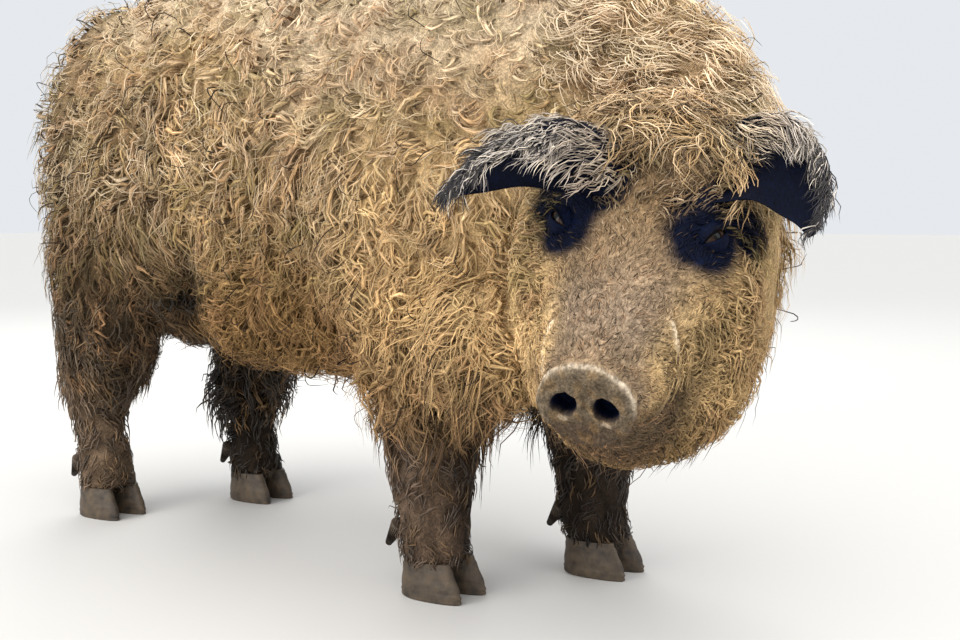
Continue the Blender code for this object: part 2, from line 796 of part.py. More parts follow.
def neck_box(operands, grown):
    frame = Matrix.Translation(Vector((0.450, 0, 0.60))) @ Matrix.Rotation(math.radians(-22), 4, "Z")
    return box("neck_box", (0, -0.36, -0.40), (0.70, 0.42, 0.50), frame, operands, grown)


def part_body(whole, home, operands):
    # Cuts the whole body into head, neck, four legs and torso, each a thin gap from the next
    pieces = {"torso": whole}
    for name in FEET:
        piece = copy_of(whole, "leg_" + name, home)
        leg_box(name, operands, 0)
        combine(piece, operands, "INTERSECT")
        head_box(operands, GAP)
        combine(piece, operands, "DIFFERENCE")
        pieces["leg_" + name] = piece
    for name, region in (("head", head_box), ("neck", neck_box)):
        pieces[name] = copy_of(whole, name, home)
        region(operands, 0)
        combine(pieces[name], operands, "INTERSECT")
    for name in ("neck", "torso"):
        head_box(operands, GAP)
        for leg in FEET:
            leg_box(leg, operands, GAP)
        if name == "torso":
            neck_box(operands, GAP)
        combine(pieces[name], operands, "DIFFERENCE")
    for piece in pieces.values():
        keep_largest(piece)
    return pieces


def centre_on_floor(objects):
    # Moves everything together, so that the origin is under the middle of the whole
    corners = [vert.co for obj in objects for vert in obj.data.vertices]
    low = Vector([min(corner[k] for corner in corners) for k in range(3)])
    high = Vector([max(corner[k] for corner in corners) for k in range(3)])
    origin = Vector(((low.x + high.x) / 2, (low.y + high.y) / 2, low.z))
    for obj in objects:
        obj.data.transform(Matrix.Translation(-origin))
        obj.data.shade_smooth()
        obj.data.set_sharp_from_angle(angle=math.radians(35))


def main():
    clear_scene()
    make_materials()
    rng = random.Random(SEED)
    pig = collection("mangalica_pig", True)
    operands = collection("operands", False)
    whole = body_forms(pig, operands)
    grow_coat(whole, operands, rng)
    chin(operands)
    for side in (-1, 1):
        eyelids(side, operands)
    combine(whole, operands, "UNION")
    nostrils(operands)
    mouth_line(operands)
    combine(whole, operands, "DIFFERENCE")
    pieces = part_body(whole, pig, operands)
    finish(pieces["head"], "face")
    finish(pieces["neck"], "coat")
    finish(pieces["torso"], "coat")
    set_into(pieces["head"], [eye("eye_right", -1, pig), eye("eye_left", 1, pig)], operands)
    ears = [ear(name, pig) for name in EARS]
    set_into(pieces["head"], ears, operands)
    set_into(pieces["neck"], ears, operands)
    set_into(pieces["torso"], [tail(pig, operands, rng)], operands)
    for name in FEET:
        foot = FEET[name][0]
        finish(pieces["leg_" + name], "muddy_leg")
        claws = []
        for side, word in ((-1, "right"), (1, "left")):
            hoof("hoof_" + name + "_" + word, foot, side, pig)
            claws.append(dewclaw("dewclaw_" + name + "_" + word, foot, side, pig))
        set_into(pieces["leg_" + name], claws, operands)
    centre_on_floor(list(pig.objects))


main()
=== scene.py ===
import math

import bmesh
import bpy
import numpy as np
from mathutils import Matrix, Vector
from mathutils.bvhtree import BVHTree
from mathutils.kdtree import KDTree


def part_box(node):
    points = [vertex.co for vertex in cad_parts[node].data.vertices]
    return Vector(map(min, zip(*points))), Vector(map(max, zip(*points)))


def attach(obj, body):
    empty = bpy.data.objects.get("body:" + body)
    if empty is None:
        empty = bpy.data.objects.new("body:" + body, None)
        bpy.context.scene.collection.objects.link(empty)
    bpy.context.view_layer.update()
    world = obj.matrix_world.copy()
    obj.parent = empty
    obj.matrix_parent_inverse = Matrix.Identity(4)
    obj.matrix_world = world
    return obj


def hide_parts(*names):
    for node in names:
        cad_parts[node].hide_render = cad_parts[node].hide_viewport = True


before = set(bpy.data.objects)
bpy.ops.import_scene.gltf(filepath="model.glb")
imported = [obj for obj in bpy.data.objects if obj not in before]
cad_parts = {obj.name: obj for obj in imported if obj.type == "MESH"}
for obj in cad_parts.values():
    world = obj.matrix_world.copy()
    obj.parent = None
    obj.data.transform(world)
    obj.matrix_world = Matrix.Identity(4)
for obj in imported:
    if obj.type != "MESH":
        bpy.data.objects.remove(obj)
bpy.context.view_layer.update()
scene = bpy.context.scene
print("frame loaded")


# The animal is drawn round its shoulders. The head has a frame of its own, with x out of the snout
headPose = {"snout": (0.7323, -0.3915, 0.3392), "heading": -74, "pitch": 28, "roll": -7.5}
eyeForm = {"at": (-0.209, 0.0777, 0.076), "faces": (0.52, 0.50, 0.69), "radius": 0.0145, "corners": 0.55,
           "white": (0.030, 0.020, 0.016), "iris": (0.034, 0.016, 0.008), "pupil": (0.002, 0.002, 0.002),
           "irisEdge": (0.80, 0.66), "pupilEdge": (0.36, 0.28)}


def headMatrix():
    place = Matrix.Translation(Vector(headPose["snout"]))
    for angle, axis in (("heading", "Z"), ("pitch", "Y"), ("roll", "X")):
        place = place @ Matrix.Rotation(math.radians(headPose[angle]), 4, axis)
    return place


headFrame = headMatrix()
headTurn = np.array(headFrame.to_3x3())
snoutAt = np.array(headPose["snout"])
xAxis, yAxis, zAxis = np.eye(3)


def toHead(points):
    return (np.asarray(points) - snoutAt) @ headTurn


def fromHead(points):
    return np.asarray(points) @ headTurn.T + snoutAt


def mirrored(point, side):
    # A place on the left of the head, or the same place on its right where the side is -1
    return np.array(point) * (1, side, 1)


def drawingOffset():
    # How far the drawing is moved to the floor's frame: its right eye goes where the frame has it
    low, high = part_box("eye_right")
    x, y, z = eyeForm["at"]
    return (low + high) / 2 - headFrame @ Vector((x, -y, z))


toFloor = drawingOffset()

# Small helpers for numbers
farAway = 9.0
roundTurn = 6.28
noiseForm = {"waves": 12, "sizes": (0.6, 1.5), "swing": 3}
noises = {  # for each random field, how far across its bumps are, and its seed
    "cloud": (0.16, 3), "fleck": (0.035, 4), "mottle": (0.045, 9), "thighEdge": (0.03, 13),
    "clots": (0.016, 14), "patchEdge": (0.02, 40), "felt": (0.030, 5), "feltGrain": (0.012, 6),
    "clods": (0.026, 7), "clodGrain": (0.009, 8), "discPores": (0.006, 31), "discLumps": (0.015, 39),
    "faceFolds": (0.055, 32), "facePores": (0.010, 33), "discMud": (0.02, 36), "discBlotch": (0.011, 38),
    "discOchre": (0.009, 35), "discRim": (0.02, 37), "tuftTone": (0.035, 49), "tuftHue": (0.028, 50),
    "depth": (0.09, 41), "depthGrain": (0.04, 48), "hang": (0.12, 45), "swirl": (0.11, 42),
    "whirls": (0.045, 43), "faceWays": (0.03, 46), "cheekWays": (0.05, 63), "downWays": (0.05, 44),
    "forwardWays": (0.05, 69), "earWays": (0.03, 70),
}


def smoothStep(low, high, value):
    t = np.clip((np.asarray(value, float) - low) / (high - low), 0, 1)
    return t * t * (3 - 2 * t)


def hump(value, width, middle=0):
    # 1 at the middle, falling away to both sides
    return np.exp(-(((value - middle) / width) ** 2))


def unit(vectors):
    return vectors / np.maximum(np.linalg.norm(vectors, axis=-1, keepdims=True), 1e-9)


def waveNoise(name, points):
    # A smooth random field of about -1 to 1
    size, seed = noises[name]
    rng = np.random.default_rng(seed)
    total = np.zeros(len(points))
    for _ in range(noiseForm["waves"]):
        way = unit(rng.normal(size=3)) * rng.uniform(*noiseForm["sizes"]) * math.pi / size
        total += np.sin(points @ way + rng.uniform(0, roundTurn))
    return np.tanh(total / noiseForm["swing"])


def resample(rows, perStep):
    # A smooth curve through the rows of a table
    rows = np.array(rows, float)
    at = np.linspace(0, len(rows) - 1, (len(rows) - 1) * perStep + 1)
    index = np.minimum(at.astype(int), len(rows) - 2)
    t = (at - index)[:, None]
    before = rows[np.maximum(index - 1, 0)]
    here = rows[index]
    there = rows[index + 1]
    after = rows[np.minimum(index + 2, len(rows) - 1)]
    return 0.5 * (
        2 * here + (there - before) * t + (2 * before - 5 * here + 4 * there - after) * t**2
        + (3 * here - before - 3 * there + after) * t**3
    )


def bezier(points, t):
    a, b, c, d = [np.array(point, float) for point in points]
    t = np.asarray(t, float)[..., None]
    return a * (1 - t) ** 3 + b * 3 * t * (1 - t) ** 2 + c * 3 * t**2 * (1 - t) + d * t**3


def distanceToLine(points, line):
    # Distance of each point to a line through several points
    best = np.full(len(points), farAway)
    line = np.array(line, float)
    for start, end in zip(line, line[1:]):
        run = end - start
        t = np.clip((points - start) @ run / (run @ run), 0, 1)
        best = np.minimum(best, np.linalg.norm(points - start - t[:, None] * run, axis=1))
    return best


def measure(points, name):
    # x, left and height are measured in the drawing, the others in the head's frame
    if name == "around":
        return np.arctan2(np.abs(points[:, 1]), points[:, 2])  # 0 on top of the head, pi under it
    if name == "side":
        return np.abs(points[:, 1])
    return points[:, {"x": 0, "along": 0, "left": 1, "across": 1, "height": 2, "above": 2}[name]]


def zone(points, share=1.0, **limits):
    # Cuts a share down to a zone. Each pair of limits says where it is 0 and where it is whole
    for name, edges in limits.items():
        values = measure(points, name)
        for empty, full in zip(edges[::2], edges[1::2]):
            share = share * smoothStep(empty, full, values)
    return share


# Small helpers for meshes
def ovalRing(centre, side, up, halfWidth, rise, drop, sides, upper=1.0, lower=1.0):
    # An egg-shaped ring. A power under 1, for the upper and the lower half, makes that half squarer
    angle = math.pi * (2 * np.arange(sides) + 1) / sides
    across, above = np.cos(angle), np.sin(angle)
    power = np.where(above > 0, upper, lower)
    height = np.where(above > 0, rise, drop)
    across = np.sign(across) * np.abs(across) ** power * halfWidth
    above = np.sign(above) * np.abs(above) ** power * height
    return np.asarray(centre) + np.outer(across, side) + np.outer(above, up)


def loftForm(bm, rings):
    # Draws one ring out through all the others and caps both ends
    ring = bmesh.ops.create_circle(bm, segments=len(rings[0]), radius=1, cap_ends=True)["verts"]
    edges = list({edge for vert in ring for edge in vert.link_edges})
    for index, points in enumerate(rings):
        if index:
            grown = bmesh.ops.extrude_edge_only(bm, edges=edges)["geom"]
            fresh = {item for item in grown if isinstance(item, bmesh.types.BMVert)}
            ring = [next(e.other_vert(v) for e in v.link_edges if e.other_vert(v) in fresh) for v in ring]
            edges = [e for e in grown if isinstance(e, bmesh.types.BMEdge) and set(e.verts) <= fresh]
        for vert, point in zip(ring, points):
            vert.co = point
    bmesh.ops.contextual_create(bm, geom=edges)


def addObject(name, mesh):
    made = bpy.data.objects.new(name, mesh)
    scene.collection.objects.link(made)
    return made


def meshFrom(bm, name):
    # Ends a bmesh as a mesh whose faces point outwards
    bmesh.ops.recalc_face_normals(bm, faces=bm.faces)
    if all(edge.is_manifold for edge in bm.edges) and bm.calc_volume(signed=True) < 0:
        bmesh.ops.reverse_faces(bm, faces=bm.faces)
    mesh = bpy.data.meshes.new(name)
    bm.to_mesh(mesh)
    bm.free()
    return mesh


def bakeModifiers(obj):
    made = bpy.data.meshes.new_from_object(obj.evaluated_get(bpy.context.evaluated_depsgraph_get()))
    obj.modifiers.clear()
    obj.data = made


def addShell(obj, thickness):
    # Gives a sheet its thickness, half to each side
    shell = obj.modifiers.new("thick", "SOLIDIFY")
    shell.thickness = thickness
    shell.offset = 0
    return shell


def readVectors(items, key):
    flat = np.zeros(len(items) * 3, np.float32)
    items.foreach_get(key, flat)
    return flat.reshape(-1, 3).astype(float)


def readPoints(mesh):
    return readVectors(mesh.vertices, "co")


def readNormals(mesh):
    return readVectors(mesh.vertex_normals, "vector")


def writePoints(mesh, points):
    mesh.vertices.foreach_set("co", points.astype(np.float32).ravel())
    mesh.update()


def paint(mesh, colours):
    # One linear colour for each corner point of the mesh
    layer = mesh.color_attributes.new("tint", "FLOAT_COLOR", "POINT")
    full = np.ones((len(colours), 4), np.float32)
    full[:, :3] = colours
    layer.data.foreach_set("color", full.ravel())


def dress(mesh, look):
    mesh.materials.append(look)
    mesh.shade_smooth()


def settle(piece, slot, *nodes):
    # The finished piece is moved from the drawing to the floor's frame and hung from the root, and the parts
    # it stands in for are hidden
    piece.data.transform(Matrix.Translation(toFloor))
    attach(piece, "root")
    if nodes:
        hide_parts(*nodes)


# Where the feet stand, and how each leg leans from there
feet = {
    "front_right": ((0.304, -0.105), (-0.020, -0.020)),
    "front_left": ((0.424, 0.118), (-0.055, 0.006)),
    "hind_right": ((-0.426, -0.132), (0.050, -0.012)),
    "hind_left": ((-0.308, 0.104), (0.000, 0.030)),
}
hindStep = 0.118  # how much further forward the left hind leg stands than the right one

# Zones of the body and the head that both the forms and the colours use
bareForm = {"back": -0.262, "cheek": 0.118, "around": (0.95, 1.40), "soft": 0.035}
patchForm = {
    "edge": (0.64, 1.10), "ragged": 0.08, "trailSize": 0.72,
    "eyes": (
        {"at": (-0.201, 0.072, 0.076), "reach": (0.048, 0.052, 0.050), "trail": (-0.246, 0.108, 0.068)},
        {"at": (-0.208, -0.074, 0.082), "reach": (0.050, 0.055, 0.052), "trail": (-0.248, -0.104, 0.082)},
    ),
}
thighEdge = ((0.340, -0.215), (0.386, -0.160), (0.420, -0.130), (0.453, -0.100), (0.498, -0.078),
             (0.542, -0.072), (0.655, -0.080))  # height, place along the body
flankFold = {
    "line": ((-0.056, -0.232, 0.498), (-0.076, -0.216, 0.454), (-0.101, -0.196, 0.422),
             (-0.134, -0.174, 0.390), (-0.168, -0.148, 0.362), (-0.196, -0.122, 0.338)),
    "radius": 0.032, "hollow": (-0.182, -0.140, 0.378), "hollowSize": 0.036, "hollowEdge": (1.5, 0.7),
    "sides": ((1, 0.0, 1.0), (-1, hindStep, 0.45)),  # side, set forward, depth
}


def headMask(near):
    # 1 on the head, 0 on the neck behind and beside it
    return zone(near, along=(-0.40, -0.34), side=(0.176, 0.152), above=(-0.262, -0.230, 0.215, 0.180))


def faceShare(near):
    return zone(near, along=(-0.285, -0.225)) * headMask(near)


def pastFaceEdge(near):
    # How far each point lies in front of the end of the short hair: the brow on top, the cheek at the side
    return near[:, 0] - (bareForm["back"] + bareForm["cheek"] * zone(near, around=bareForm["around"]))


def bareMask(near):
    # 1 on the face, where the hair is short, 0 where the curls begin
    return smoothStep(-bareForm["soft"], bareForm["soft"], pastFaceEdge(near)) * headMask(near)


def patchMask(near):
    # 1 on the dark patches round the eyes
    share = np.zeros(len(near))
    for patch in patchForm["eyes"]:
        for at, grow in ((patch["at"], 1.0), (patch["trail"], patchForm["trailSize"])):
            gap = (near - np.array(at)) / (np.array(patch["reach"]) * grow)
            gap = np.linalg.norm(gap, axis=1) + patchForm["ragged"] * waveNoise("patchEdge", near)
            share = np.maximum(share, 1 - smoothStep(*patchForm["edge"], gap))
    return share


def levelHind(points):
    # How far along the body each point lies, as if both hind legs stood level
    return points[:, 0] - hindStep * zone(points, left=(-0.04, 0.04))


def hindMask(points):
    # 1 on the thighs and hind legs
    return 1 - smoothStep(-0.22, -0.08, levelHind(points))


def aheadOfThigh(points):
    # How far in front of the thigh's ragged edge each point lies
    height, edge = np.array(thighEdge).T
    return levelHind(points) - np.interp(points[:, 2], height, edge) + 0.012 * waveNoise("thighEdge", points)


def foldMask(points):
    # 1 in the fold and the hollow between the belly and each thigh
    form = flankFold
    share = np.zeros(len(points))
    for side, shift, depth in form["sides"]:
        line = mirrored(form["line"], side) + (shift, 0, 0)
        share = np.maximum(share, depth * hump(distanceToLine(points, line), form["radius"]))
        hollow = np.linalg.norm(points - mirrored(form["hollow"], side) - (shift, 0, 0), axis=1)
        share = np.maximum(share, depth * smoothStep(*form["hollowEdge"], hollow / form["hollowSize"]))
    return zone(points, share, height=(0.50, 0.41))


def cheekTuck(near):
    # 1 on the left side of the head behind the eye, where the head is slimmer
    level = zone(near, above=(-0.12, -0.03, 0.10, 0.05))
    return zone(near, zone(near, along=(-0.41, -0.34, -0.18, -0.25)) * level, across=(0.09, 0.135))


# Colours of skin and coat, by place
tints = {
    "blond": (0.55, 0.375, 0.190),
    "pale": (0.88, 0.73, 0.53),
    "rust": (0.42, 0.235, 0.115),
    "olive": (0.300, 0.225, 0.085),
    "golden": (0.80, 0.55, 0.27),
    "ochre": (0.265, 0.145, 0.047),
    "brown": (0.074, 0.051, 0.030),
    "mud": (0.062, 0.041, 0.027),
    "face": (0.248, 0.160, 0.080),
    "muzzle": (0.260, 0.188, 0.125),
    "cheek": (0.50, 0.338, 0.155),
    "patch": (0.0009, 0.0030, 0.0140),
    "ear": (0.0007, 0.0020, 0.0088),
    "silver": (0.56, 0.50, 0.44),
    "disc": (0.132, 0.100, 0.066),
    "rim": (0.62, 0.51, 0.38),
}
# fold and foldShade are painted shade: they brown and darken the fold before each thigh
coatMix = {"pale": 0.78, "rust": 0.40, "olive": 0.45, "low": 0.80, "strip": 0.40, "rump": 0.62, "thigh": 0.34,
           "hind": 0.94, "fold": 0.95, "foldShade": 0.92, "fleck": 0.10}
legMix = {"hindMud": 0.7, "clots": 0.30, "reach": (0.16, 0.12),
          "innerWay": (0.79, 0.61), "innerEdge": (0.005, 0.055)}
legMudAndShade = {  # how light each leg is low down, partly its own mud and partly painted shade on the legs in the body's shade, and how much painted shade darkens the side of the leg that faces innerWay; a share under 0 darkens the other side instead and lightens this one
    "front_right": {"shade": 1.46, "inner": 0.62},
    "front_left": {"shade": 0.38, "inner": -0.45},
    "hind_right": {"shade": 1.65, "inner": 0.35},
    "hind_left": {"shade": 0.25, "inner": 0.0},
}
headMix = {"neck": 0.85, "cheek": 0.8, "rightJowlLight": 0.95, "leftJowl": 0.40, "brow": 0.60, "under": 0.40,
           "chin": 0.85, "arc": 0.76, "arcFleck": 0.22, "arcWidth": 0.0026}


def mixTint(base, name, share):
    return base + (np.array(tints[name]) - base) * np.asarray(share)[:, None]


def coatColour(points, fleck):
    # Mottled blond, darker low down and behind, with a golden strip in front of the dark thigh and painted
    # shade, browned and darkened, in the fold before each thigh
    mix = coatMix
    height = points[:, 2]
    cloud = waveNoise("cloud", points)
    colour = np.tile(np.array(tints["blond"]), (len(points), 1))
    # Paler over the upper body: partly the coat's own pale hair, partly painted light on the top of the body
    paleCoatAndTopLight = zone(points, np.clip(0.40 + 0.5 * cloud, 0, 1), height=(0.52, 0.80))
    colour = mixTint(colour, "pale", paleCoatAndTopLight * mix["pale"])
    mottle = waveNoise("mottle", points) + 0.5 * fleck
    colour = mixTint(colour, "rust", smoothStep(0.10, 1.0, mottle) * mix["rust"])
    colour = mixTint(colour, "olive", smoothStep(-0.10, -1.0, mottle) * mix["olive"])
    low = 1 - smoothStep(0.34, 0.66, height + 0.05 * cloud + 0.22 * zone(points, x=(0.08, 0.34)))
    colour = mixTint(colour, "ochre", low * mix["low"])
    ahead = aheadOfThigh(points)
    strip = zone(points, hump(ahead, 0.030, 0.040), height=(0.36, 0.42, 0.72, 0.62))
    colour = mixTint(colour, "golden", strip * mix["strip"])
    colour = mixTint(colour, "brown", zone(points, x=(-0.24, -0.46)) * mix["rump"])
    thigh = smoothStep(0.012, -0.030, ahead)
    colour = mixTint(colour, "brown", thigh * smoothStep(0.76, 0.58, height + 0.05 * cloud) * mix["thigh"])
    hind = thigh * (1 - smoothStep(0.34, 0.57, height + 0.04 * cloud))
    # Painted shade: the fold and the hollow before each thigh are browned and darkened where shade falls in
    # them
    fold = foldMask(points)
    colour = mixTint(colour, "brown", np.maximum(hind * mix["hind"], fold * mix["fold"]))
    return colour * (1 - mix["foldShade"] * fold)[:, None]


def addLegMudAndShade(colour, points, notHead, fleck):
    height = points[:, 2]
    level = height + 0.02 * fleck - 0.04 * (points[:, 1] > 0)
    front = (1 - hindMask(points)) * (1 - smoothStep(0.20, 0.30, level))
    colour = mixTint(colour, "mud", front * notHead)
    hind = hindMask(points) * (1 - smoothStep(0.16, 0.30, height))
    colour = mixTint(colour, "mud", hind * legMix["hindMud"])
    # Painted shade: each leg is dimmed or lightened by its shade value, and darkened on one side by its inner
    # value
    for foot, mud in legMudAndShade.items():
        offset = points[:, :2] - feet[foot][0]
        onLeg = smoothStep(*legMix["reach"], np.linalg.norm(offset, axis=1))
        low = smoothStep(0.34, 0.22, height) * onLeg
        colour = colour * (1 + (mud["shade"] - 1) * low)[:, None]
        inward = smoothStep(*legMix["innerEdge"], offset @ legMix["innerWay"]) - 0.4 * (mud["inner"] < 0)
        low = smoothStep(0.40, 0.30, height) * onLeg
        colour = colour * (1 - mud["inner"] * inward * low)[:, None]
    clots = legMix["clots"] * waveNoise("clots", points * (1, 1, 0.5))
    return colour * (1 + zone(points, clots, height=(0.34, 0.24)))[:, None]


def addHeadColour(colour, points, near, fleck):
    # Golden beside the head and on the right jowl, partly the coat's colour and partly painted light that
    # lifts the shade there, greyer on the muzzle, pale in the arcs beside the mouth, painted shade on the
    # brow under the forelock, dark round the eyes
    mix = headMix
    head = headMask(near)
    bare = bareMask(near)
    # Painted light: golden on the neck beside the head, where the head shades it, partly the coat's own
    # colour
    neck = zone(near, along=(-0.60, -0.48), above=(0.13, 0.04)) * (1 - head)
    neck = zone(points, zone(near, neck, side=(0.45, 0.34)), height=(0.30, 0.40))
    colour = mixTint(colour, "golden", neck * mix["neck"])
    colour = mixTint(colour, "face", bare)
    colour = mixTint(colour, "muzzle", zone(near, hump(near[:, 0], 0.085, -0.08), above=(-0.06, 0.02)) * bare)
    cheek = zone(near, around=(0.60, 1.35), along=(-0.03, -0.06))
    colour = mixTint(colour, "cheek", cheek * head * mix["cheek"])
    # Painted light: golden on the right cheek and jowl, where the head shades them, partly the coat's own
    # colour
    slope = smoothStep(0.02, -0.05, near[:, 2] - 0.5 * (near[:, 0] + 0.16))
    right = zone(near, across=(-0.02, -0.10)) * slope
    colour = mixTint(colour, "golden", zone(near, right * head, along=(-0.03, -0.08)) * mix["rightJowlLight"])
    left = zone(near, across=(0.06, 0.12), above=(0.05, -0.02), along=(-0.05, -0.10))
    colour = mixTint(colour, "golden", zone(near, left * head, above=(-0.02, -0.10)) * mix["leftJowl"])
    # Painted shade: a brown band across the brow under the forelock
    brow = zone(near, hump(near[:, 0], 0.016, -0.250), side=(0.105, 0.070), above=(0.06, 0.10))
    colour = mixTint(colour, "brown", brow * head * mix["brow"])
    colour = mixTint(colour, "ochre", zone(near, head, above=(-0.04, -0.17)) * mix["under"])
    arc = np.zeros(len(points))
    for side, line in faceForm["arcs"].items():
        arc = np.maximum(arc, hump(distanceToLine(near, mirrored(line, side)), mix["arcWidth"]))
    colour = mixTint(colour, "pale", arc * bare * (mix["arc"] + mix["arcFleck"] * fleck))
    chin = head * smoothStep(-0.030, -0.052, near[:, 2] - 0.12 * np.abs(near[:, 1]))
    colour = mixTint(colour, "mud", zone(near, chin, along=(-0.14, -0.09)) * mix["chin"])
    return mixTint(colour, "patch", patchMask(near) * head)


def markings(points):
    # The colour that skin and hair share at points of the drawing
    near = toHead(points)
    fleck = waveNoise("fleck", points)
    colour = coatColour(points, fleck)
    colour = addLegMudAndShade(colour, points, 1 - headMask(near), fleck)
    colour = addHeadColour(colour, points, near, fleck)
    return colour * (1 + coatMix["fleck"] * fleck)[:, None]


# The body's forms, each a loft through rings
torsoForm = {"length": 1.175, "middle": 0.0125, "halfWidth": 0.235, "back": 0.888, "belly": 0.294,
             "endRise": 0.020, "rumpFall": 0.006, "breastTurn": 0.05, "stations": 46, "sides": 56,
             "capAngle": 0.155, "square": 0.9}
footTop = 0.052
legForm = {"perStep": 4, "sides": 32}
frontLeg = (  # height, half length, half width, set along X
    (0.500, 0.100, 0.078, 0.000), (0.400, 0.094, 0.074, 0.002), (0.310, 0.082, 0.069, 0.008),
    (0.235, 0.070, 0.062, 0.010), (0.175, 0.062, 0.057, 0.008), (0.130, 0.052, 0.049, 0.006),
    (0.092, 0.050, 0.048, 0.000), (0.048, 0.047, 0.047, 0.006),
)
hindLeg = (
    (0.560, 0.110, 0.070, 0.020), (0.440, 0.114, 0.080, 0.018), (0.345, 0.100, 0.070, 0.012),
    (0.265, 0.080, 0.058, -0.006), (0.220, 0.066, 0.051, -0.018), (0.180, 0.050, 0.043, -0.026),
    (0.130, 0.042, 0.040, -0.014), (0.092, 0.044, 0.042, -0.006), (0.048, 0.045, 0.045, 0.004),
)
shoulderForm = {"shift": 0.000, "out": 0.118, "height": 0.560, "radii": (0.165, 0.125, 0.225)}
hamForm = {"shift": 0.018, "out": 0.110, "height": 0.600, "radii": (0.165, 0.108, 0.250)}
headForm = {"length": 0.42, "sides": 64, "perStep": 5, "droop": 0.006,
            "jowlFrom": 0.05, "jowlRun": 0.10, "jowlSquare": 0.26}
headTable = (  # behind the disc, half width, rise, drop
    (0.000, 0.043, 0.040, 0.041), (0.005, 0.048, 0.045, 0.047), (0.016, 0.048, 0.046, 0.048),
    (0.028, 0.045, 0.044, 0.050), (0.050, 0.056, 0.052, 0.080), (0.080, 0.067, 0.060, 0.120),
    (0.120, 0.082, 0.069, 0.158), (0.160, 0.100, 0.082, 0.182), (0.200, 0.120, 0.103, 0.198),
    (0.245, 0.135, 0.129, 0.206), (0.300, 0.144, 0.150, 0.200), (0.355, 0.138, 0.152, 0.180),
    (0.420, 0.105, 0.115, 0.120),
)
neckTable = (  # half width, rise, drop
    (0.205, 0.258, 0.262), (0.190, 0.258, 0.270), (0.170, 0.250, 0.260), (0.148, 0.224, 0.226),
    (0.125, 0.172, 0.180),
)
neckForm = {"start": (0.360, 0.000, 0.605), "bend": (0.535, -0.018, 0.600), "end": (-0.33, 0, 0),
            "perStep": 6, "sides": 56, "square": 0.82}
tailForm = {"line": ((-0.545, 0.000, 0.735), (-0.665, 0.010, 0.765), (-0.655, 0.030, 0.600),
                     (-0.645, 0.045, 0.470)), "thick": 0.024, "thin": 0.012, "stations": 24, "sides": 14}
ballDetail = {"u_segments": 32, "v_segments": 20}


def torsoRings():
    form = torsoForm
    halfHeight = (form["back"] - form["belly"]) / 2
    middle = (form["back"] + form["belly"]) / 2
    rings = []
    for t in np.linspace(form["capAngle"], math.pi - form["capAngle"], form["stations"]):
        along = -math.cos(t)
        girth = (1 - along**4) ** 0.5
        level = middle + form["endRise"] * along**4 - form["rumpFall"] * max(0, -along) ** 2
        turn = -form["breastTurn"] * max(0, along) ** 3
        centre = (form["middle"] + along * form["length"] / 2, turn, level)
        width, height = form["halfWidth"] * girth, halfHeight * girth
        rings.append(ovalRing(centre, yAxis, zAxis, width, height, height, form["sides"], form["square"]))
    return rings


def neckRings():
    form = neckForm
    start, bend = np.array(form["start"]), np.array(form["bend"])
    end = fromHead(form["end"])
    table = resample(neckTable, form["perStep"])
    rings = []
    for k, (width, rise, drop) in enumerate(table):
        t = k / (len(table) - 1)
        centre = start * (1 - t) ** 2 + bend * 2 * t * (1 - t) + end * t**2
        heading = math.radians(headPose["heading"]) * t
        side = np.array((-math.sin(heading), math.cos(heading), 0))
        rings.append(ovalRing(centre, side, zAxis, width, rise, drop, form["sides"], form["square"]))
    return rings


def headRings():
    form = headForm
    rings = []
    for behind, width, rise, drop in resample(headTable, form["perStep"]):
        centre = fromHead((-behind, 0, -form["droop"] * behind / form["length"]))
        jowls = 1 - form["jowlSquare"] * min(1, max(0, (behind - form["jowlFrom"]) / form["jowlRun"]))
        rings.append(ovalRing(centre, headTurn[:, 1], headTurn[:, 2], width, rise, drop,
                              form["sides"], 1, jowls))
    return rings


def legRings(name):
    (footX, footY), (leanX, leanY) = feet[name]
    table = frontLeg if name.startswith("front") else hindLeg
    rings = []
    for height, halfLength, halfWidth, shift in resample(table, legForm["perStep"]):
        share = (height - footTop) / (table[0][0] - footTop)
        centre = (footX + shift + leanX * share, footY + leanY * share, height)
        rings.append(ovalRing(centre, yAxis, xAxis, halfWidth, halfLength, halfLength, legForm["sides"]))
    return rings


def tailRadius(t):
    return tailForm["thick"] * (1 - t) + tailForm["thin"] * t


def tailRings():
    line = tailForm["line"]
    rings = []
    for t in np.linspace(0, 1, tailForm["stations"]):
        along = unit(bezier(line, min(1, t + 0.03)) - bezier(line, max(0, t - 0.03)))
        radius = tailRadius(t)
        up = np.cross(along, yAxis)
        rings.append(ovalRing(bezier(line, t), yAxis, up, radius, radius, radius, tailForm["sides"]))
    return rings


def addBulge(bm, at, size, place=Matrix.Identity(4)):
    verts = bmesh.ops.create_uvsphere(bm, radius=1, **ballDetail)["verts"]
    bmesh.ops.scale(bm, verts=verts, vec=size)
    bmesh.ops.translate(bm, verts=verts, vec=at)
    bmesh.ops.transform(bm, verts=verts, matrix=place)


def addHaunch(bm, name):
    form = shoulderForm if name.startswith("front") else hamForm
    (footX, footY), (leanX, _) = feet[name]
    at = (footX + leanX + form["shift"], math.copysign(form["out"], footY), form["height"])
    addBulge(bm, at, form["radii"])


# One skin over all the forms
skinForm = {"voxel": 0.0087, "relax": 0.5, "smooth": 7, "brisket": (0.452, -0.135, 0.362),
            "brisketSize": (0.092, 0.098, 0.082), "felt": 0.0100, "fold": 0.030, "cheek": 0.009,
            "tuck": 0.026, "tuckAt": -0.215, "tuckWidth": 0.065, "clods": 0.0035, "clodGrain": 0.0020}
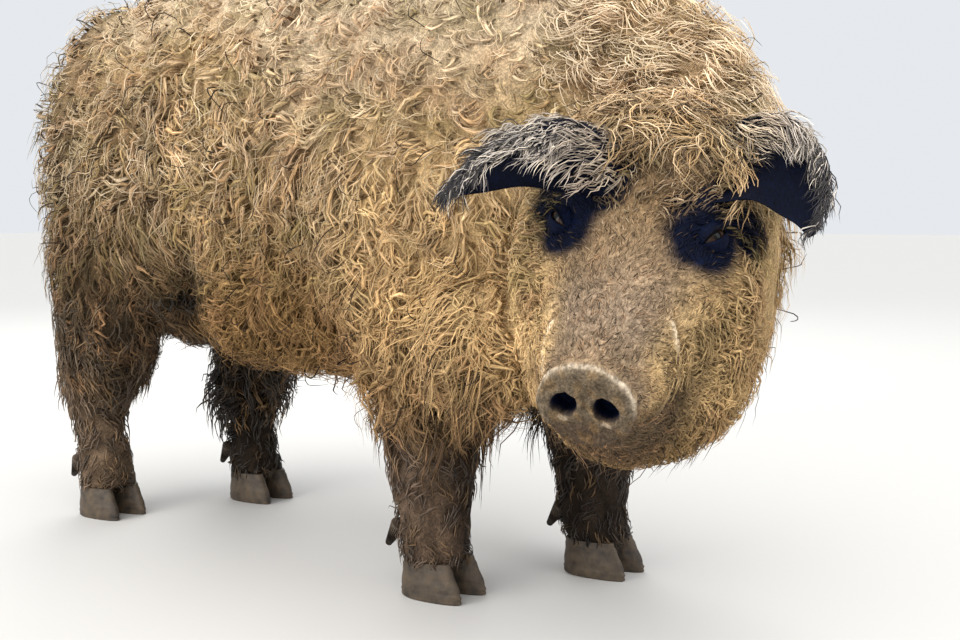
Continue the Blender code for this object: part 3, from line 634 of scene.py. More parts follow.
# Where each finer mesh of the face starts, and how far it reaches round the eyes
faceSteps = ((-0.27, 0.0), (-0.075, 0.040), (-0.014, 0.024))
faceForm = {
    "nostril": (0.0205, 0.001), "nostrilSize": (0.0122, 0.0128), "nostrilDepth": 0.022,
    "discSize": (0.047, 0.046),
    "chin": (-0.082, 0.003, -0.060), "chinSize": (0.050, 0.046, 0.034),
    "chinLine": ((-0.116, 0, -0.074), (-0.062, 0, -0.064)),
    "arcs": {
        1: ((-0.107, 0.062, 0.037), (-0.099, 0.068, 0.024), (-0.093, 0.071, 0.007), (-0.092, 0.071, -0.013),
            (-0.083, 0.067, -0.027), (-0.064, 0.057, -0.043)),
        -1: ((-0.084, 0.057, 0.034), (-0.072, 0.060, 0.020), (-0.058, 0.058, 0.008), (-0.044, 0.053, 0.001)),
    },
    "mouth": ((-0.150, 0.083, -0.022), (-0.120, 0.069, -0.032), (-0.090, 0.057, -0.037),
              (-0.060, 0.044, -0.038), (-0.036, 0.000, -0.043)),
    "wrinkles": (-0.034, -0.050, -0.068, -0.089),
    "brow": (-0.232, 0.070, 0.108),
}
ridges = {  # height, width and middle of each ridge of the face. A height under 0 makes a groove
    "discRim": (0.0022, 0.10, 0.90),
    "nostrilRim": (0.0018, 0.28, 1.30),
    "wrinkle": (-0.0022, 0.0045, 0),
    "arc": (0.0030, 0.0045, 0),
    "arcGroove": (-0.0060, 0.0065, 0),
    "mouth": (-0.0045, 0.0050, 0),
    "lip": (0.0035, 0.009, 0),
    "lids": (0.0050, 0.034, 0),
    "socket": (-0.0085, 0.017, 0),
    "brow": (0.0090, 0.020, 0),
}


def rawSkin():
    bm = bmesh.new()
    for rings in (torsoRings(), neckRings(), headRings(), tailRings()):
        loftForm(bm, rings)
    for name in feet:
        loftForm(bm, legRings(name))
        addHaunch(bm, name)
    addBulge(bm, faceForm["chin"], faceForm["chinSize"], headFrame)
    addBulge(bm, skinForm["brisket"], skinForm["brisketSize"])
    skin = addObject("skin", meshFrom(bm, "skin"))
    remesh = skin.modifiers.new("remesh", "REMESH")
    remesh.mode = "VOXEL"
    remesh.voxel_size = skinForm["voxel"]
    relax = skin.modifiers.new("relax", "SMOOTH")
    relax.factor = skinForm["relax"]
    relax.iterations = skinForm["smooth"]
    bakeModifiers(skin)
    return skin


def eyeGap(near):
    # Distance to the nearer eye
    gaps = [np.linalg.norm(near - mirrored(eyeForm["at"], side), axis=1) for side in (1, -1)]
    return np.minimum(*gaps)


def refineFace(skin):
    # Halves the faces on the front of the head and round the eyes, again and again
    bm = bmesh.new()
    bm.from_mesh(skin.data)
    bm.verts.ensure_lookup_table()
    for start, reach in faceSteps:
        near = toHead(np.array([vert.co for vert in bm.verts]))
        chosen = (near[:, 0] > start) & (headMask(near) > 0) | (eyeGap(near) < reach)
        edges = [edge for edge in bm.edges if all(chosen[vert.index] for vert in edge.verts)]
        bmesh.ops.subdivide_edges(bm, edges=edges, cuts=1, use_grid_fill=True)
        bm.verts.index_update()
    bmesh.ops.triangulate(bm, faces=[face for face in bm.faces if len(face.verts) > 4])
    bm.to_mesh(skin.data)
    bm.free()


def ridge(name, gap, share=1.0):
    height, width, middle = ridges[name]
    return height * share * hump(gap, width, middle)


def nostrilGap(near):
    # 1 on the edge of a nostril, less inside it. The nostrils are drops that point up and out
    out, over = faceForm["nostril"]
    wide, tall = faceForm["nostrilSize"]
    across, above = np.abs(near[:, 1]) - out, near[:, 2] - over
    across, above = across * 0.9 + above * 0.35, above * 0.9 - across * 0.35
    return np.hypot(across / (wide * (1 - 0.10 * np.clip(above / tall, -1, 1))), above / tall)


def discRelief(near):
    # The snout's disc: a raised rim, a shallow dish, rims round the nostrils and rough skin
    front = zone(near, along=(-0.012, -0.003))
    ring = np.hypot(near[:, 1] / faceForm["discSize"][0], near[:, 2] / faceForm["discSize"][1])
    relief = front * (ridge("discRim", ring) - 0.0015 * (1 - smoothStep(0.2, 0.8, ring)))
    hole = nostrilGap(near)
    relief += ridge("nostrilRim", hole, front)
    rough = 0.0012 * waveNoise("discPores", near) + 0.0010 * waveNoise("discLumps", near)
    return relief + front * rough * (1 - smoothStep(1.0, 0.6, hole))


def faceRelief(near):
    # How far the skin of the face stands out from the plain form of the head
    form = faceForm
    side = np.abs(near[:, 1])
    folded = near * (1, 0, 1) + np.abs(near) * (0, 1, 0)  # both sides as the left one
    relief = discRelief(near)
    top = smoothStep(-0.3, 0.5, near[:, 2] / np.maximum(np.hypot(near[:, 1], near[:, 2]), 1e-4))
    for at in form["wrinkles"]:
        shift = at - 0.10 * side + 0.003 * np.sin(near[:, 1] * 160 + at * 900)
        relief += ridge("wrinkle", near[:, 0] - shift, top)
    for word, line in form["arcs"].items():
        line = mirrored(line, word)
        relief += ridge("arc", distanceToLine(near, line))
        relief += ridge("arcGroove", distanceToLine(near, line - (0.013, 0, 0)))
    relief += ridge("mouth", distanceToLine(folded, form["mouth"]))
    relief += ridge("lip", distanceToLine(folded, np.array(form["mouth"]) - (0, 0, 0.014)))
    gap = np.linalg.norm(folded - np.array(eyeForm["at"]), axis=1)
    relief += ridge("lids", gap) + ridge("socket", gap)
    brow = np.linalg.norm((folded - np.array(form["brow"])) / (1.6, 1.0, 1.0), axis=1)
    relief += ridge("brow", brow)
    relief += zone(near, 0.0030 * waveNoise("faceFolds", near), along=(-0.05, -0.12))
    relief += 0.0007 * waveNoise("facePores", near)
    return relief


def fitHead(skin):
    # Draws the face back to the exact form of the head, which the remeshing has softened
    points = readPoints(skin.data)
    near = toHead(points)
    exact = bmesh.new()
    loftForm(exact, headRings())
    bmesh.ops.recalc_face_normals(exact, faces=exact.faces)
    bmesh.ops.triangulate(exact, faces=exact.faces)
    tree = BVHTree.FromBMesh(exact)
    exact.free()
    share = faceShare(near) * smoothStep(0.030, 0.048, distanceToLine(near, faceForm["chinLine"]))
    for index in np.nonzero(share > 0)[0]:
        hit = tree.find_nearest(Vector(points[index]))[0]
        points[index] += (np.array(hit) - points[index]) * share[index]
    writePoints(skin.data, points)


def tuckFlank(skin):
    # Draws in the left cheek and the fold before each thigh, and lifts the flank's lower edge there
    form = skinForm
    points = readPoints(skin.data)
    outward = unit(readNormals(skin.data))
    inward = form["fold"] * foldMask(points) + form["cheek"] * cheekTuck(toHead(points))
    points = points - outward * inward[:, None]
    tuck = hump(levelHind(points) - form["tuckAt"], form["tuckWidth"])
    points[:, 2] += form["tuck"] * zone(points, tuck, height=(0.40, 0.33, 0.25, 0.29))
    writePoints(skin.data, points)


def shapeSkin(skin):
    # Folds, wrinkles and nostrils on the face, under-coat on the body, lumps of mud on the legs
    form = skinForm
    points = readPoints(skin.data)
    near = toHead(points)
    outward = unit(readNormals(skin.data))
    disc = zone(near, along=(-0.012, -0.004)) * headMask(near)
    disc = disc * smoothStep(1.05, 0.9, np.hypot(near[:, 1], near[:, 2]) / faceForm["discSize"][0])
    outward = unit(outward * (1 - disc)[:, None] + headTurn[:, 0] * disc[:, None])
    points += outward * (faceRelief(near) * faceShare(near))[:, None]
    pit = faceForm["nostrilDepth"] * (1 - smoothStep(0.66, 1.04, nostrilGap(near))) * disc
    points -= pit[:, None] * unit(headTurn[:, 0] + headTurn[:, 2] * 0.25)
    body = zone(points, 1 - bareMask(near), height=(0.24, 0.34))
    body *= 1 - zone(near, 0.55, along=(-0.62, -0.52), above=(0.16, 0.08))
    felt = form["felt"] * (0.85 + 0.14 * waveNoise("felt", points) + 0.12 * waveNoise("feltGrain", points))
    points += outward * (felt * body * (1 - foldMask(points)))[:, None]
    legs = zone(points, height=(0.31, 0.24, 0.055, 0.075)) * (1 - headMask(near))
    lumps = form["clods"] * waveNoise("clods", points)
    lumps = lumps + form["clodGrain"] * waveNoise("clodGrain", points * (1, 1, 0.35))
    points += outward * (lumps * legs)[:, None]
    writePoints(skin.data, points)


skin = rawSkin()
refineFace(skin)
fitHead(skin)
tuckFlank(skin)
surface = skin.data.copy()  # the plain skin that the hair follows
shapeSkin(skin)
grownSkin = readPoints(skin.data)
print("skin", len(skin.data.polygons))


# Ears and eyelids
earForms = {
    "right": {
        "back": ((-0.308, -0.034, 0.128), (-0.284, -0.110, 0.190),
                 (-0.190, -0.148, 0.186), (-0.100, -0.172, 0.152)),
        "front": ((-0.228, -0.018, 0.092), (-0.182, -0.082, 0.140),
                  (-0.134, -0.137, 0.147), (-0.096, -0.166, 0.149)),
        "arch": 0.022,
    },
    "left": {
        "back": ((-0.310, 0.034, 0.128), (-0.345, 0.110, 0.204),
                 (-0.322, 0.210, 0.160), (-0.203, 0.180, 0.100)),
        "front": ((-0.225, 0.025, 0.085), (-0.232, 0.090, 0.130),
                  (-0.222, 0.140, 0.122), (-0.197, 0.174, 0.098)),
        "arch": -0.026,
    },
}
earMake = {"along": 28, "across": 16, "thick": 0.0075, "rim": 0.35, "fullWidth": 0.08, "ripple": 0.0035}
lidForm = {"over": 0.0022, "thick": 0.0020, "open": 0.0048, "shut": 0.0040, "width": 0.0150, "spread": 1.12,
           "turn": 1.35, "round": 0.8, "along": 26, "across": 10}


def earPoint(form, t, s):
    # The middle of the ear's sheet: t runs from root to tip, s from the front edge to the back edge
    far, near = bezier(form["back"], t), bezier(form["front"], t)
    run = bezier(form["back"], np.minimum(1, t + 0.05)) - bezier(form["back"], np.maximum(0, t - 0.05))
    out = unit(np.cross(far - near, run))
    out = out * np.where(out[..., 2:] < 0, -1, 1)
    wide = np.minimum(1, np.linalg.norm(far - near, axis=-1) / earMake["fullWidth"])
    swell = form["arch"] * np.sin(math.pi * (0.22 + 0.70 * t)) * wide * 4 * s * (1 - s)
    ripple = earMake["ripple"] * np.sin(t * 15 + s * 2) * (np.abs(s - 0.5) * 2) ** 2 * wide
    point = near + (far - near) * s[..., None] + out * (swell + ripple)[..., None]
    return point, out


def earGrid(along, across):
    # Even places over the ear: t along it, s across it
    return [grid.ravel() for grid in np.meshgrid(np.linspace(0, 1, along), np.linspace(0, 1, across))]


def addEar(name, form):
    make = earMake
    bm = bmesh.new()
    group = bm.verts.layers.deform.verify()
    grid = bmesh.ops.create_grid(bm, x_segments=make["along"], y_segments=make["across"], size=1)["verts"]
    for vert in grid:
        t, s = (vert.co.x + 1) / 2, (vert.co.y + 1) / 2
        edge = min(1, 5 * min(s, 1 - s, 1.15 - t))
        vert[group][0] = make["rim"] + (1 - make["rim"]) * edge * (1 - 0.4 * t)
        vert.co = fromHead(earPoint(form, np.array(t), np.array(s))[0])
    ear = addObject("ear " + name, meshFrom(bm, "ear"))
    ear.vertex_groups.new(name="thick")
    addShell(ear, make["thick"]).vertex_group = "thick"
    rounding = ear.modifiers.new("round", "SUBSURF")
    rounding.levels = rounding.render_levels = 1
    bakeModifiers(ear)
    return ear


def eyeAxes(side):
    out = unit(mirrored(eyeForm["faces"], side))
    across = np.array((1, -eyeForm["corners"] * side, 0))
    across = unit(across - out * (across @ out))
    over = np.cross(out, across) * side
    return out, across, over if over[2] > 0 else -over


def addLid(side, upper):
    # A shell that hugs the eyeball, from the slit between the lids to behind the skin
    form = lidForm
    out, across, over = eyeAxes(side)
    middle = mirrored(eyeForm["at"], side)
    radius = eyeForm["radius"] + form["over"]
    gape = form["open"] if upper else -form["shut"]
    bm = bmesh.new()
    grid = bmesh.ops.create_grid(bm, x_segments=form["along"], y_segments=form["across"], size=1)["verts"]
    for vert in grid:
        u, v = vert.co.x, (vert.co.y + 1) / 2  # u runs between the corners of the eye, v away from the slit
        x = u * form["width"] * form["spread"]
        y = gape * max(0, 1 - u * u) ** form["round"]
        slit = math.asin(max(-1, min(1, y / radius)))
        tilt = slit + (form["turn"] if upper else -form["turn"]) * v
        turn = math.asin(max(-0.98, min(0.98, x / radius)))
        fold = 1 + 0.05 * math.sin(v * 16) * v * (1 - v) + 0.10 * v * (1 - v)
        flat = radius * math.cos(turn) * fold
        leaning = over * math.sin(tilt) + out * math.cos(tilt)
        point = middle + across * radius * math.sin(turn) + leaning * flat
        vert.co = fromHead(point)
    lid = addObject("lid", meshFrom(bm, "lid"))
    addShell(lid, form["thick"])
    bakeModifiers(lid)
    return lid


def joinToSkin(skin, parts):
    home = bpy.data.collections.new("joined")
    scene.collection.children.link(home)
    for part in parts:
        scene.collection.objects.unlink(part)
        home.objects.link(part)
    union = skin.modifiers.new("union", "BOOLEAN")
    union.operation = "UNION"
    union.solver = "MANIFOLD"
    union.operand_type = "COLLECTION"
    union.collection = home
    bakeModifiers(skin)
    for part in parts:
        bpy.data.objects.remove(part)
    bpy.data.collections.remove(home)


ears = [addEar(name, form) for name, form in earForms.items()]
lids = [addLid(side, upper) for side in (-1, 1) for upper in (True, False)]
joinToSkin(skin, ears + lids)
print("ears and lids", len(skin.data.polygons))

# Colours that only the skin has: bare ears and the snout's disc
# fleck and glintAt are the strength and the place of the painted glints under the nostrils
skinMix = {"feltShade": 0.26, "mud": 0.85, "blotch": 0.35, "ochre": 0.20, "rim": 0.95, "fleck": 0.30,
           "ringSize": (0.048, 0.047), "earReach": (0.024, 0.012), "glintAt": (0.0215, -0.0165)}


def plantTree(points):
    # A search tree of points
    tree = KDTree(len(points))
    for index, point in enumerate(points):
        tree.insert(point, index)
    tree.balance()
    return tree


def earShare(near):
    # 1 on the ears, read from how near each point is to their sheets
    share = np.zeros(len(near))
    chosen = np.nonzero((near[:, 2] > 0.06) & (near[:, 0] > -0.36) & (near[:, 0] < -0.08))[0]
    for form in earForms.values():
        sheet = plantTree(earPoint(form, *earGrid(22, 9))[0])
        gaps = np.array([sheet.find(point)[2] for point in near[chosen]])
        share[chosen] = np.maximum(share[chosen], smoothStep(*skinMix["earReach"], gaps))
    return share


def addDiscColour(colour, near):
    # Mud, blotches, a pale upper rim, nostrils painted near-black as painted shade inside them, and two
    # painted glints under them
    mix = skinMix
    ring = np.hypot(near[:, 1] / mix["ringSize"][0], near[:, 2] / mix["ringSize"][1])
    disc = zone(near, along=(-0.010, -0.004)) * smoothStep(1.1, 1.0, ring)
    colour = mixTint(colour, "disc", disc)
    mud = smoothStep(-0.002, -0.034, near[:, 2] + 0.010 * waveNoise("discMud", near))
    colour = mixTint(colour, "mud", disc * mud * mix["mud"])
    blotch = smoothStep(-0.1, 0.6, waveNoise("discBlotch", near)) * mix["blotch"]
    colour = mixTint(colour, "brown", disc * blotch)
    ochre = smoothStep(0.0, 0.7, waveNoise("discOchre", near))
    colour = mixTint(colour, "ochre", disc * ochre * mix["ochre"])
    edge = hump(near[:, 0], 0.0035, -0.004) * hump(ring, 0.06, 1.0)
    edge = edge * (0.75 + 0.25 * waveNoise("discRim", near))
    colour = mixTint(colour, "rim", zone(near, edge, above=(-0.012, 0.022)) * mix["rim"])
    # Painted shade: the inside and the edge of each nostril pit are painted with the near-black patch tint
    pit = zone(near, along=(-0.040, -0.030)) * smoothStep(0.90, 0.80, ring)
    colour = mixTint(colour, "patch", zone(near, pit, along=(-0.0045, -0.0080)))
    colour = mixTint(colour, "patch", pit * smoothStep(1.12, 0.92, nostrilGap(near)))
    # Painted highlight: two wet glints under the nostrils in the pale rim tint
    out, over = mix["glintAt"]
    fleck = np.hypot((np.abs(near[:, 1]) - out) / 0.006, (near[:, 2] - over) / 0.003)
    return mixTint(colour, "rim", disc * smoothStep(1.2, 0.6, fleck) * mix["fleck"])


def skinTint(mesh):
    points = readPoints(mesh)
    near = toHead(points)
    colour = markings(points)
    # Painted shade: the skin under the coat is darkened where the hair shades it
    felt = zone(points, 1 - bareMask(near), height=(0.26, 0.36))
    colour *= (1 - skinMix["feltShade"] * felt)[:, None]
    colour = mixTint(colour, "ear", earShare(near))
    return addDiscColour(colour, near)


# Materials
hairLooks = {
    "curled hair": {"roughness": 0.64, "specular": 0.16},
    "felted hair": {"roughness": 0.72, "specular": 0.10, "streaks": 5, "low": 0.42, "high": 1.60,
                    "relief": 0.0022},
    "muddy hair": {"roughness": 0.40, "specular": 0.45},
    "ear hair": {"roughness": 0.50, "specular": 0.30},
}
skinLook = {"roughness": 0.70, "specular": 0.08, "stretch": 3.2, "bump": 0.6, "relief": 0.0012}
noiseSpan = (0.30, 0.70)  # the part of a noise's range that is stretched to the whole


def newMaterial(name, roughness, specular):
    made = bpy.data.materials.new(name)
    made.use_nodes = True
    shader = made.node_tree.nodes["Principled BSDF"]
    shader.inputs["Roughness"].default_value = roughness
    shader.inputs["Specular IOR Level"].default_value = specular
    return made, made.node_tree.nodes, made.node_tree.links, shader


def paintedTint(nodes):
    tint = nodes.new("ShaderNodeAttribute")
    tint.attribute_name = "tint"
    return tint.outputs["Color"]


def objectPlace(nodes):
    return nodes.new("ShaderNodeTexCoord").outputs["Object"]


def addMapping(nodes, links, vector, scale):
    mapping = nodes.new("ShaderNodeMapping")
    mapping.inputs["Scale"].default_value = scale
    links.new(vector, mapping.inputs["Vector"])
    return mapping


def addNoise(nodes, links, vector, scale, detail, low, high, swirl=0):
    # Noise stretched to run from low to high
    noise = nodes.new("ShaderNodeTexNoise")
    noise.inputs["Distortion"].default_value = swirl
    noise.inputs["Scale"].default_value = scale
    noise.inputs["Detail"].default_value = detail
    links.new(vector, noise.inputs["Vector"])
    span = nodes.new("ShaderNodeMapRange")
    span.inputs["From Min"].default_value, span.inputs["From Max"].default_value = noiseSpan
    span.inputs["To Min"].default_value = low
    span.inputs["To Max"].default_value = high
    links.new(noise.outputs["Fac"], span.inputs["Value"])
    return span.outputs["Result"]


def scaleColour(nodes, links, colour, *factors):
    for factor in factors:
        made = nodes.new("ShaderNodeVectorMath")
        made.operation = "SCALE"
        links.new(colour, made.inputs[0])
        links.new(factor, made.inputs["Scale"])
        colour = made.outputs["Vector"]
    return colour


def mixColour(nodes, links, factor, first, second):
    made = nodes.new("ShaderNodeMix")
    made.data_type = "RGBA"
    links.new(factor, made.inputs["Factor"])
    links.new(first, made.inputs["A"])
    made.inputs["B"].default_value = (*second, 1)
    return made.outputs["Result"]


def addBump(nodes, links, shader, height, strength, distance):
    bump = nodes.new("ShaderNodeBump")
    bump.inputs["Strength"].default_value = strength
    bump.inputs["Distance"].default_value = distance
    links.new(height, bump.inputs["Height"])
    links.new(bump.outputs["Normal"], shader.inputs["Normal"])


def hairMaterial(name, roughness, specular, streaks=7, low=0.72, high=1.28, relief=0.0006):
    made, nodes, links, shader = newMaterial(name, roughness, specular)
    strand = nodes.new("ShaderNodeUVMap")
    strand.uv_map = "strand"
    stretch = addMapping(nodes, links, strand.outputs["UV"], (streaks, 1.2, 1))
    streak = addNoise(nodes, links, stretch.outputs["Vector"], 1.0, 2, low, high)
    dust = addNoise(nodes, links, objectPlace(nodes), 90, 3, 0.85, 1.15)
    links.new(scaleColour(nodes, links, paintedTint(nodes), streak, dust), shader.inputs["Base Color"])
    addBump(nodes, links, shader, streak, 0.45, relief)
    return made


def skinMaterial():
    # Short fine hairs along the head, dust, and a tangle of strands
    form = skinLook
    made, nodes, links, shader = newMaterial("skin", form["roughness"], form["specular"])
    place = objectPlace(nodes)
    turn = addMapping(nodes, links, place, (form["stretch"], 1, 1))
    turn.vector_type = "TEXTURE"
    turn.inputs["Rotation"].default_value = headFrame.to_euler()
    hairs = addNoise(nodes, links, turn.outputs["Vector"], 420, 3, 0.62, 1.42)
    dust = addNoise(nodes, links, place, 110, 5, 0.70, 1.25)
    strands = addNoise(nodes, links, place, 130, 4, 0.62, 1.30, 3.5)
    colour = scaleColour(nodes, links, paintedTint(nodes), hairs, dust, strands)
    links.new(colour, shader.inputs["Base Color"])
    addBump(nodes, links, shader, hairs, form["bump"], form["relief"])
    return made


looks = {name: hairMaterial(name, **form) for name, form in hairLooks.items()}

paint(skin.data, skinTint(skin.data))
skin.data.materials.clear()
dress(skin.data, skinMaterial())
settle(skin, "face", "torso", "neck", "head", "tail", "ear_left", "ear_right",
       *["leg_" + name for name in feet])
print("skin coloured")

# The plain skin as triangles, for the roots of the hair and for hair that lies along it
surface.calc_loop_triangles()
corners = np.zeros(len(surface.loop_triangles) * 3, np.int32)
surface.loop_triangles.foreach_get("vertices", corners)
corners = corners.reshape(-1, 3)
surfacePoints = readPoints(surface)
surfaceNormals = readNormals(surface)
nearestSkin = BVHTree.FromPolygons(surfacePoints.tolist(), corners.tolist())
scatterForm = {"neighbours": 6, "edge": 1e-6}


def scatter(count, weight, seed, grown=False):
    # Roots spread evenly over the skin, as close together as the weight of each place says
    rng = np.random.default_rng(seed)
    more = count + count // 2
    a, b, c = [surfacePoints[corners[:, k]] for k in range(3)]
    area = np.linalg.norm(np.cross(b - a, c - a), axis=1)
    running = np.cumsum(area * weight((a + b + c) / 3))
    picks = np.searchsorted(running, (np.arange(more) + rng.random(more)) / more * running[-1])
    picks = rng.permutation(np.minimum(picks, len(corners) - 1))
    out, over = rng.random(more) ** 0.5, rng.random(more)
    shares = np.stack([1 - out, out * (1 - over), out * over], axis=1)[:, :, None]
    flat = (surfacePoints[corners[picks]] * shares).sum(axis=1)
    tree = plantTree(flat)
    # The third that crowd an earlier root most are left out
    room = np.array([
        min([gap for _, other, gap in tree.find_n(point, scatterForm["neighbours"]) if other < index],
            default=farAway)
        for index, point in enumerate(flat)
    ]) * np.sqrt(np.maximum(weight(flat), scatterForm["edge"]))
    kept = np.sort(np.argsort(-room, kind="stable")[:count])
    picks, shares = picks[kept], shares[kept]
    points = ((grownSkin if grown else surfacePoints)[corners[picks]] * shares).sum(axis=1)
    normals = unit((surfaceNormals[corners[picks]] * shares).sum(axis=1))
    return points, normals


def onSkin(points):
    # The nearest places on the plain skin and its smooth normals there
    hits = [nearestSkin.find_nearest(Vector(point)) for point in points.reshape(-1, 3)]
    places = np.array([hit[0] for hit in hits])
    faces = corners[[hit[2] for hit in hits]]
    a, b, c = [surfacePoints[faces[:, k]] for k in range(3)]
    whole = np.cross(b - a, c - a)
    size = np.maximum((whole * whole).sum(axis=1), 1e-18)
    shareC = (np.cross(b - a, places - a) * whole).sum(axis=1) / size
    shareB = (np.cross(places - a, c - a) * whole).sum(axis=1) / size
    shares = np.stack([1 - shareB - shareC, shareB, shareC], axis=1)[:, :, None]
    normals = unit((surfaceNormals[faces] * shares).sum(axis=1))
    return places.reshape(points.shape), normals.reshape(points.shape)


def turned(vectors, normals, angle):
    # Vectors that lie across a normal, turned about it
    side = np.cross(normals, vectors)
    return vectors * np.cos(angle)[:, None] + side * np.sin(angle)[:, None]


def flatten(ways, normals):
    # Ways laid along the surface, with a spare way where one stands up from it
    flat = ways - normals * (ways * normals).sum(axis=1, keepdims=True)
    poor = np.linalg.norm(flat, axis=1) < 0.15
    spare = np.cross(normals, yAxis)
    return unit(np.where(poor[:, None], spare, flat))


def curlLine(length, wave, waves, phase, spin, steps):
    # A wavy or rolled-up line that lies flat, of the given real length
    s = (np.arange(steps - 1) + 0.5)[None, :] / (steps - 1)
    heading = wave[:, None] * np.sin(2 * math.pi * waves[:, None] * s + phase[:, None])
    heading = heading - (wave * np.sin(phase))[:, None] * (1 - s) + spin[:, None] * (s - 0.15)
    step = (length / (steps - 1))[:, None]
    x = np.cumsum(np.cos(heading) * step, axis=1)
    y = np.cumsum(np.sin(heading) * step, axis=1)
    start = np.zeros((len(length), 1))
    return np.concatenate([start, x], axis=1), np.concatenate([start, y], axis=1)


# A flat unwrap of the body's own shape, for the baked map: barrel, head and legs are each rolled out.
# Each part has the start and the size of its place on the map, and the start and the size that it covers
unwrapForm = {
    "body": {"u": (0.02, 0.60), "v": (0.05, 0.90), "from": -0.62, "size": 1.35},
    "head": {"u": (0.65, 0.32), "v": (0.55, 0.40), "from": -0.40, "size": 0.42},
    "leg": {"u": (0.65, 0.07), "v": (0.05, 0.40), "from": 0.0, "size": 0.30},
    "axis": 0.59, "legStep": 0.08, "legReach": 0.16, "margin": (0.01, 0.99), "patch": 0.003,
}


def unroll(part, angle, along, shift=0.0):
    form = unwrapForm[part]
    (startU, sizeU), (startV, sizeV) = form["u"], form["v"]
    u = startU + shift + sizeU * (angle / (2 * math.pi) + 0.5)
    return u, startV + sizeV * (along - form["from"]) / form["size"]


def bodyUnwrap(points):
    form = unwrapForm
    near = toHead(points)
    u, v = unroll("body", np.arctan2(points[:, 1], points[:, 2] - form["axis"]), points[:, 0])
    head = headMask(near) > 0
    headU, headV = unroll("head", np.arctan2(near[:, 1], near[:, 2]), near[:, 0])
    u, v = np.where(head, headU, u), np.where(head, headV, v)
    for index, (foot, _) in enumerate(feet.values()):
        x, y = (points[:, :2] - foot).T
        leg = (points[:, 2] < form["leg"]["size"]) & (np.hypot(x, y) < form["legReach"]) & ~head
        legU, legV = unroll("leg", np.arctan2(y, x), points[:, 2], form["legStep"] * index)
        u, v = np.where(leg, legU, u), np.where(leg, legV, v)
    return np.stack([np.clip(u, *form["margin"]), np.clip(v, *form["margin"])], axis=1)


# Locks of hair, as joined meshes. A lock is a thin three-sided tube that tapers to its tip
lockForm = {"root": 0.55, "swell": 1.6, "taper": 2.2, "sharp": 0.75, "under": 0.4, "over": 0.6, "strand": 40,
            "strandRun": 3, "mostTriangles": 190000, "seed": 51}
hairCount = {"all": 0}


def lockArrays(paths, ups, width, depth, tones, roots):
    # Locks along paths whose last point is the tip. A tone is given for each point
    form = lockForm
    count, steps = paths.shape[:2]
    rings = steps - 1
    along = np.empty_like(paths)
    along[:, 1:-1] = paths[:, 2:] - paths[:, :-2]
    along[:, 0] = paths[:, 1] - paths[:, 0]
    along[:, -1] = paths[:, -1] - paths[:, -2]
    along = unit(along)
    ups = unit(ups - along * (ups * along).sum(axis=2, keepdims=True))
    side = np.cross(along, ups)
    s = np.linspace(0, 1, steps)
    girth = np.minimum(1, form["root"] + form["swell"] * s) * (1 - s ** form["taper"]) ** form["sharp"]
    girth = girth[None, :rings, None]
    wide = width[:, None, None] * girth / 2
    thick = depth[:, None, None] * girth
    middle = paths[:, :rings]
    tube = np.stack([
        middle - side[:, :rings] * wide - ups[:, :rings] * thick * form["under"],
        middle + side[:, :rings] * wide - ups[:, :rings] * thick * form["under"],
        middle + ups[:, :rings] * thick * form["over"],
    ], axis=2).reshape(count, rings * 3, 3)
    points = np.concatenate([tube, paths[:, -1:]], axis=1)
    faces = [(0, 1, 2)]
    for k in range(rings - 1):
        for j in range(3):
            a, b = 3 * k + j, 3 * k + (j + 1) % 3
            faces += [(b, a, a + 3), (b, a + 3, b + 3)]
    last, tip = 3 * (rings - 1), 3 * rings
    faces += [(last + (j + 1) % 3, last + j, tip) for j in range(3)]
    tone = np.concatenate([np.repeat(tones[:, :rings], 3, axis=1), tones[:, -1:]], axis=1)
    acrossAt = np.append(np.tile((0.0, 1.0, 0.5), rings), 0.5)
    alongAt = np.append(np.repeat(s[:rings], 3), 1.0)
    place = bodyUnwrap(roots)
    patch = unwrapForm["patch"]
    bake = np.stack([place[:, :1] + patch * (acrossAt - 0.5), place[:, 1:] + patch * (alongAt - 0.5)], axis=2)
    return {"points": points, "faces": np.array(faces), "tone": tone, "bake": bake,
            "across": acrossAt, "along": alongAt}


def addMap(mesh, name, places, faces):
    spots = places.reshape(-1, 2)[faces.ravel()]
    mesh.uv_layers.new(name=name).data.foreach_set("uv", spots.astype(np.float32).ravel())


def lockMesh(name, locks, rng):
    # Joins one group of locks into a mesh, with its colours and its two maps
    count, perLock = locks["points"].shape[:2]
    faces = (locks["faces"][None] + (np.arange(count) * perLock)[:, None, None]).reshape(-1, 3)
    mesh = bpy.data.meshes.new(name)
    mesh.vertices.add(count * perLock)
    mesh.vertices.foreach_set("co", locks["points"].astype(np.float32).ravel())
    mesh.loops.add(len(faces) * 3)
    mesh.loops.foreach_set("vertex_index", faces.astype(np.int32).ravel())
    mesh.polygons.add(len(faces))
    mesh.polygons.foreach_set("loop_start", np.arange(0, len(faces) * 3, 3, dtype=np.int32))
    mesh.update(calc_edges=True)
    mesh.polygons.foreach_set("use_smooth", np.ones(len(faces), bool))
    paint(mesh, locks["tone"].reshape(-1, 3))
    addMap(mesh, "OFBake", locks["bake"], faces)
    shift = rng.random((count, 2)) * lockForm["strand"]
    run = locks["along"] * lockForm["strandRun"]
    addMap(mesh, "strand", np.stack([shift[:, :1] + locks["across"], shift[:, 1:] + run], axis=2), faces)
    return mesh


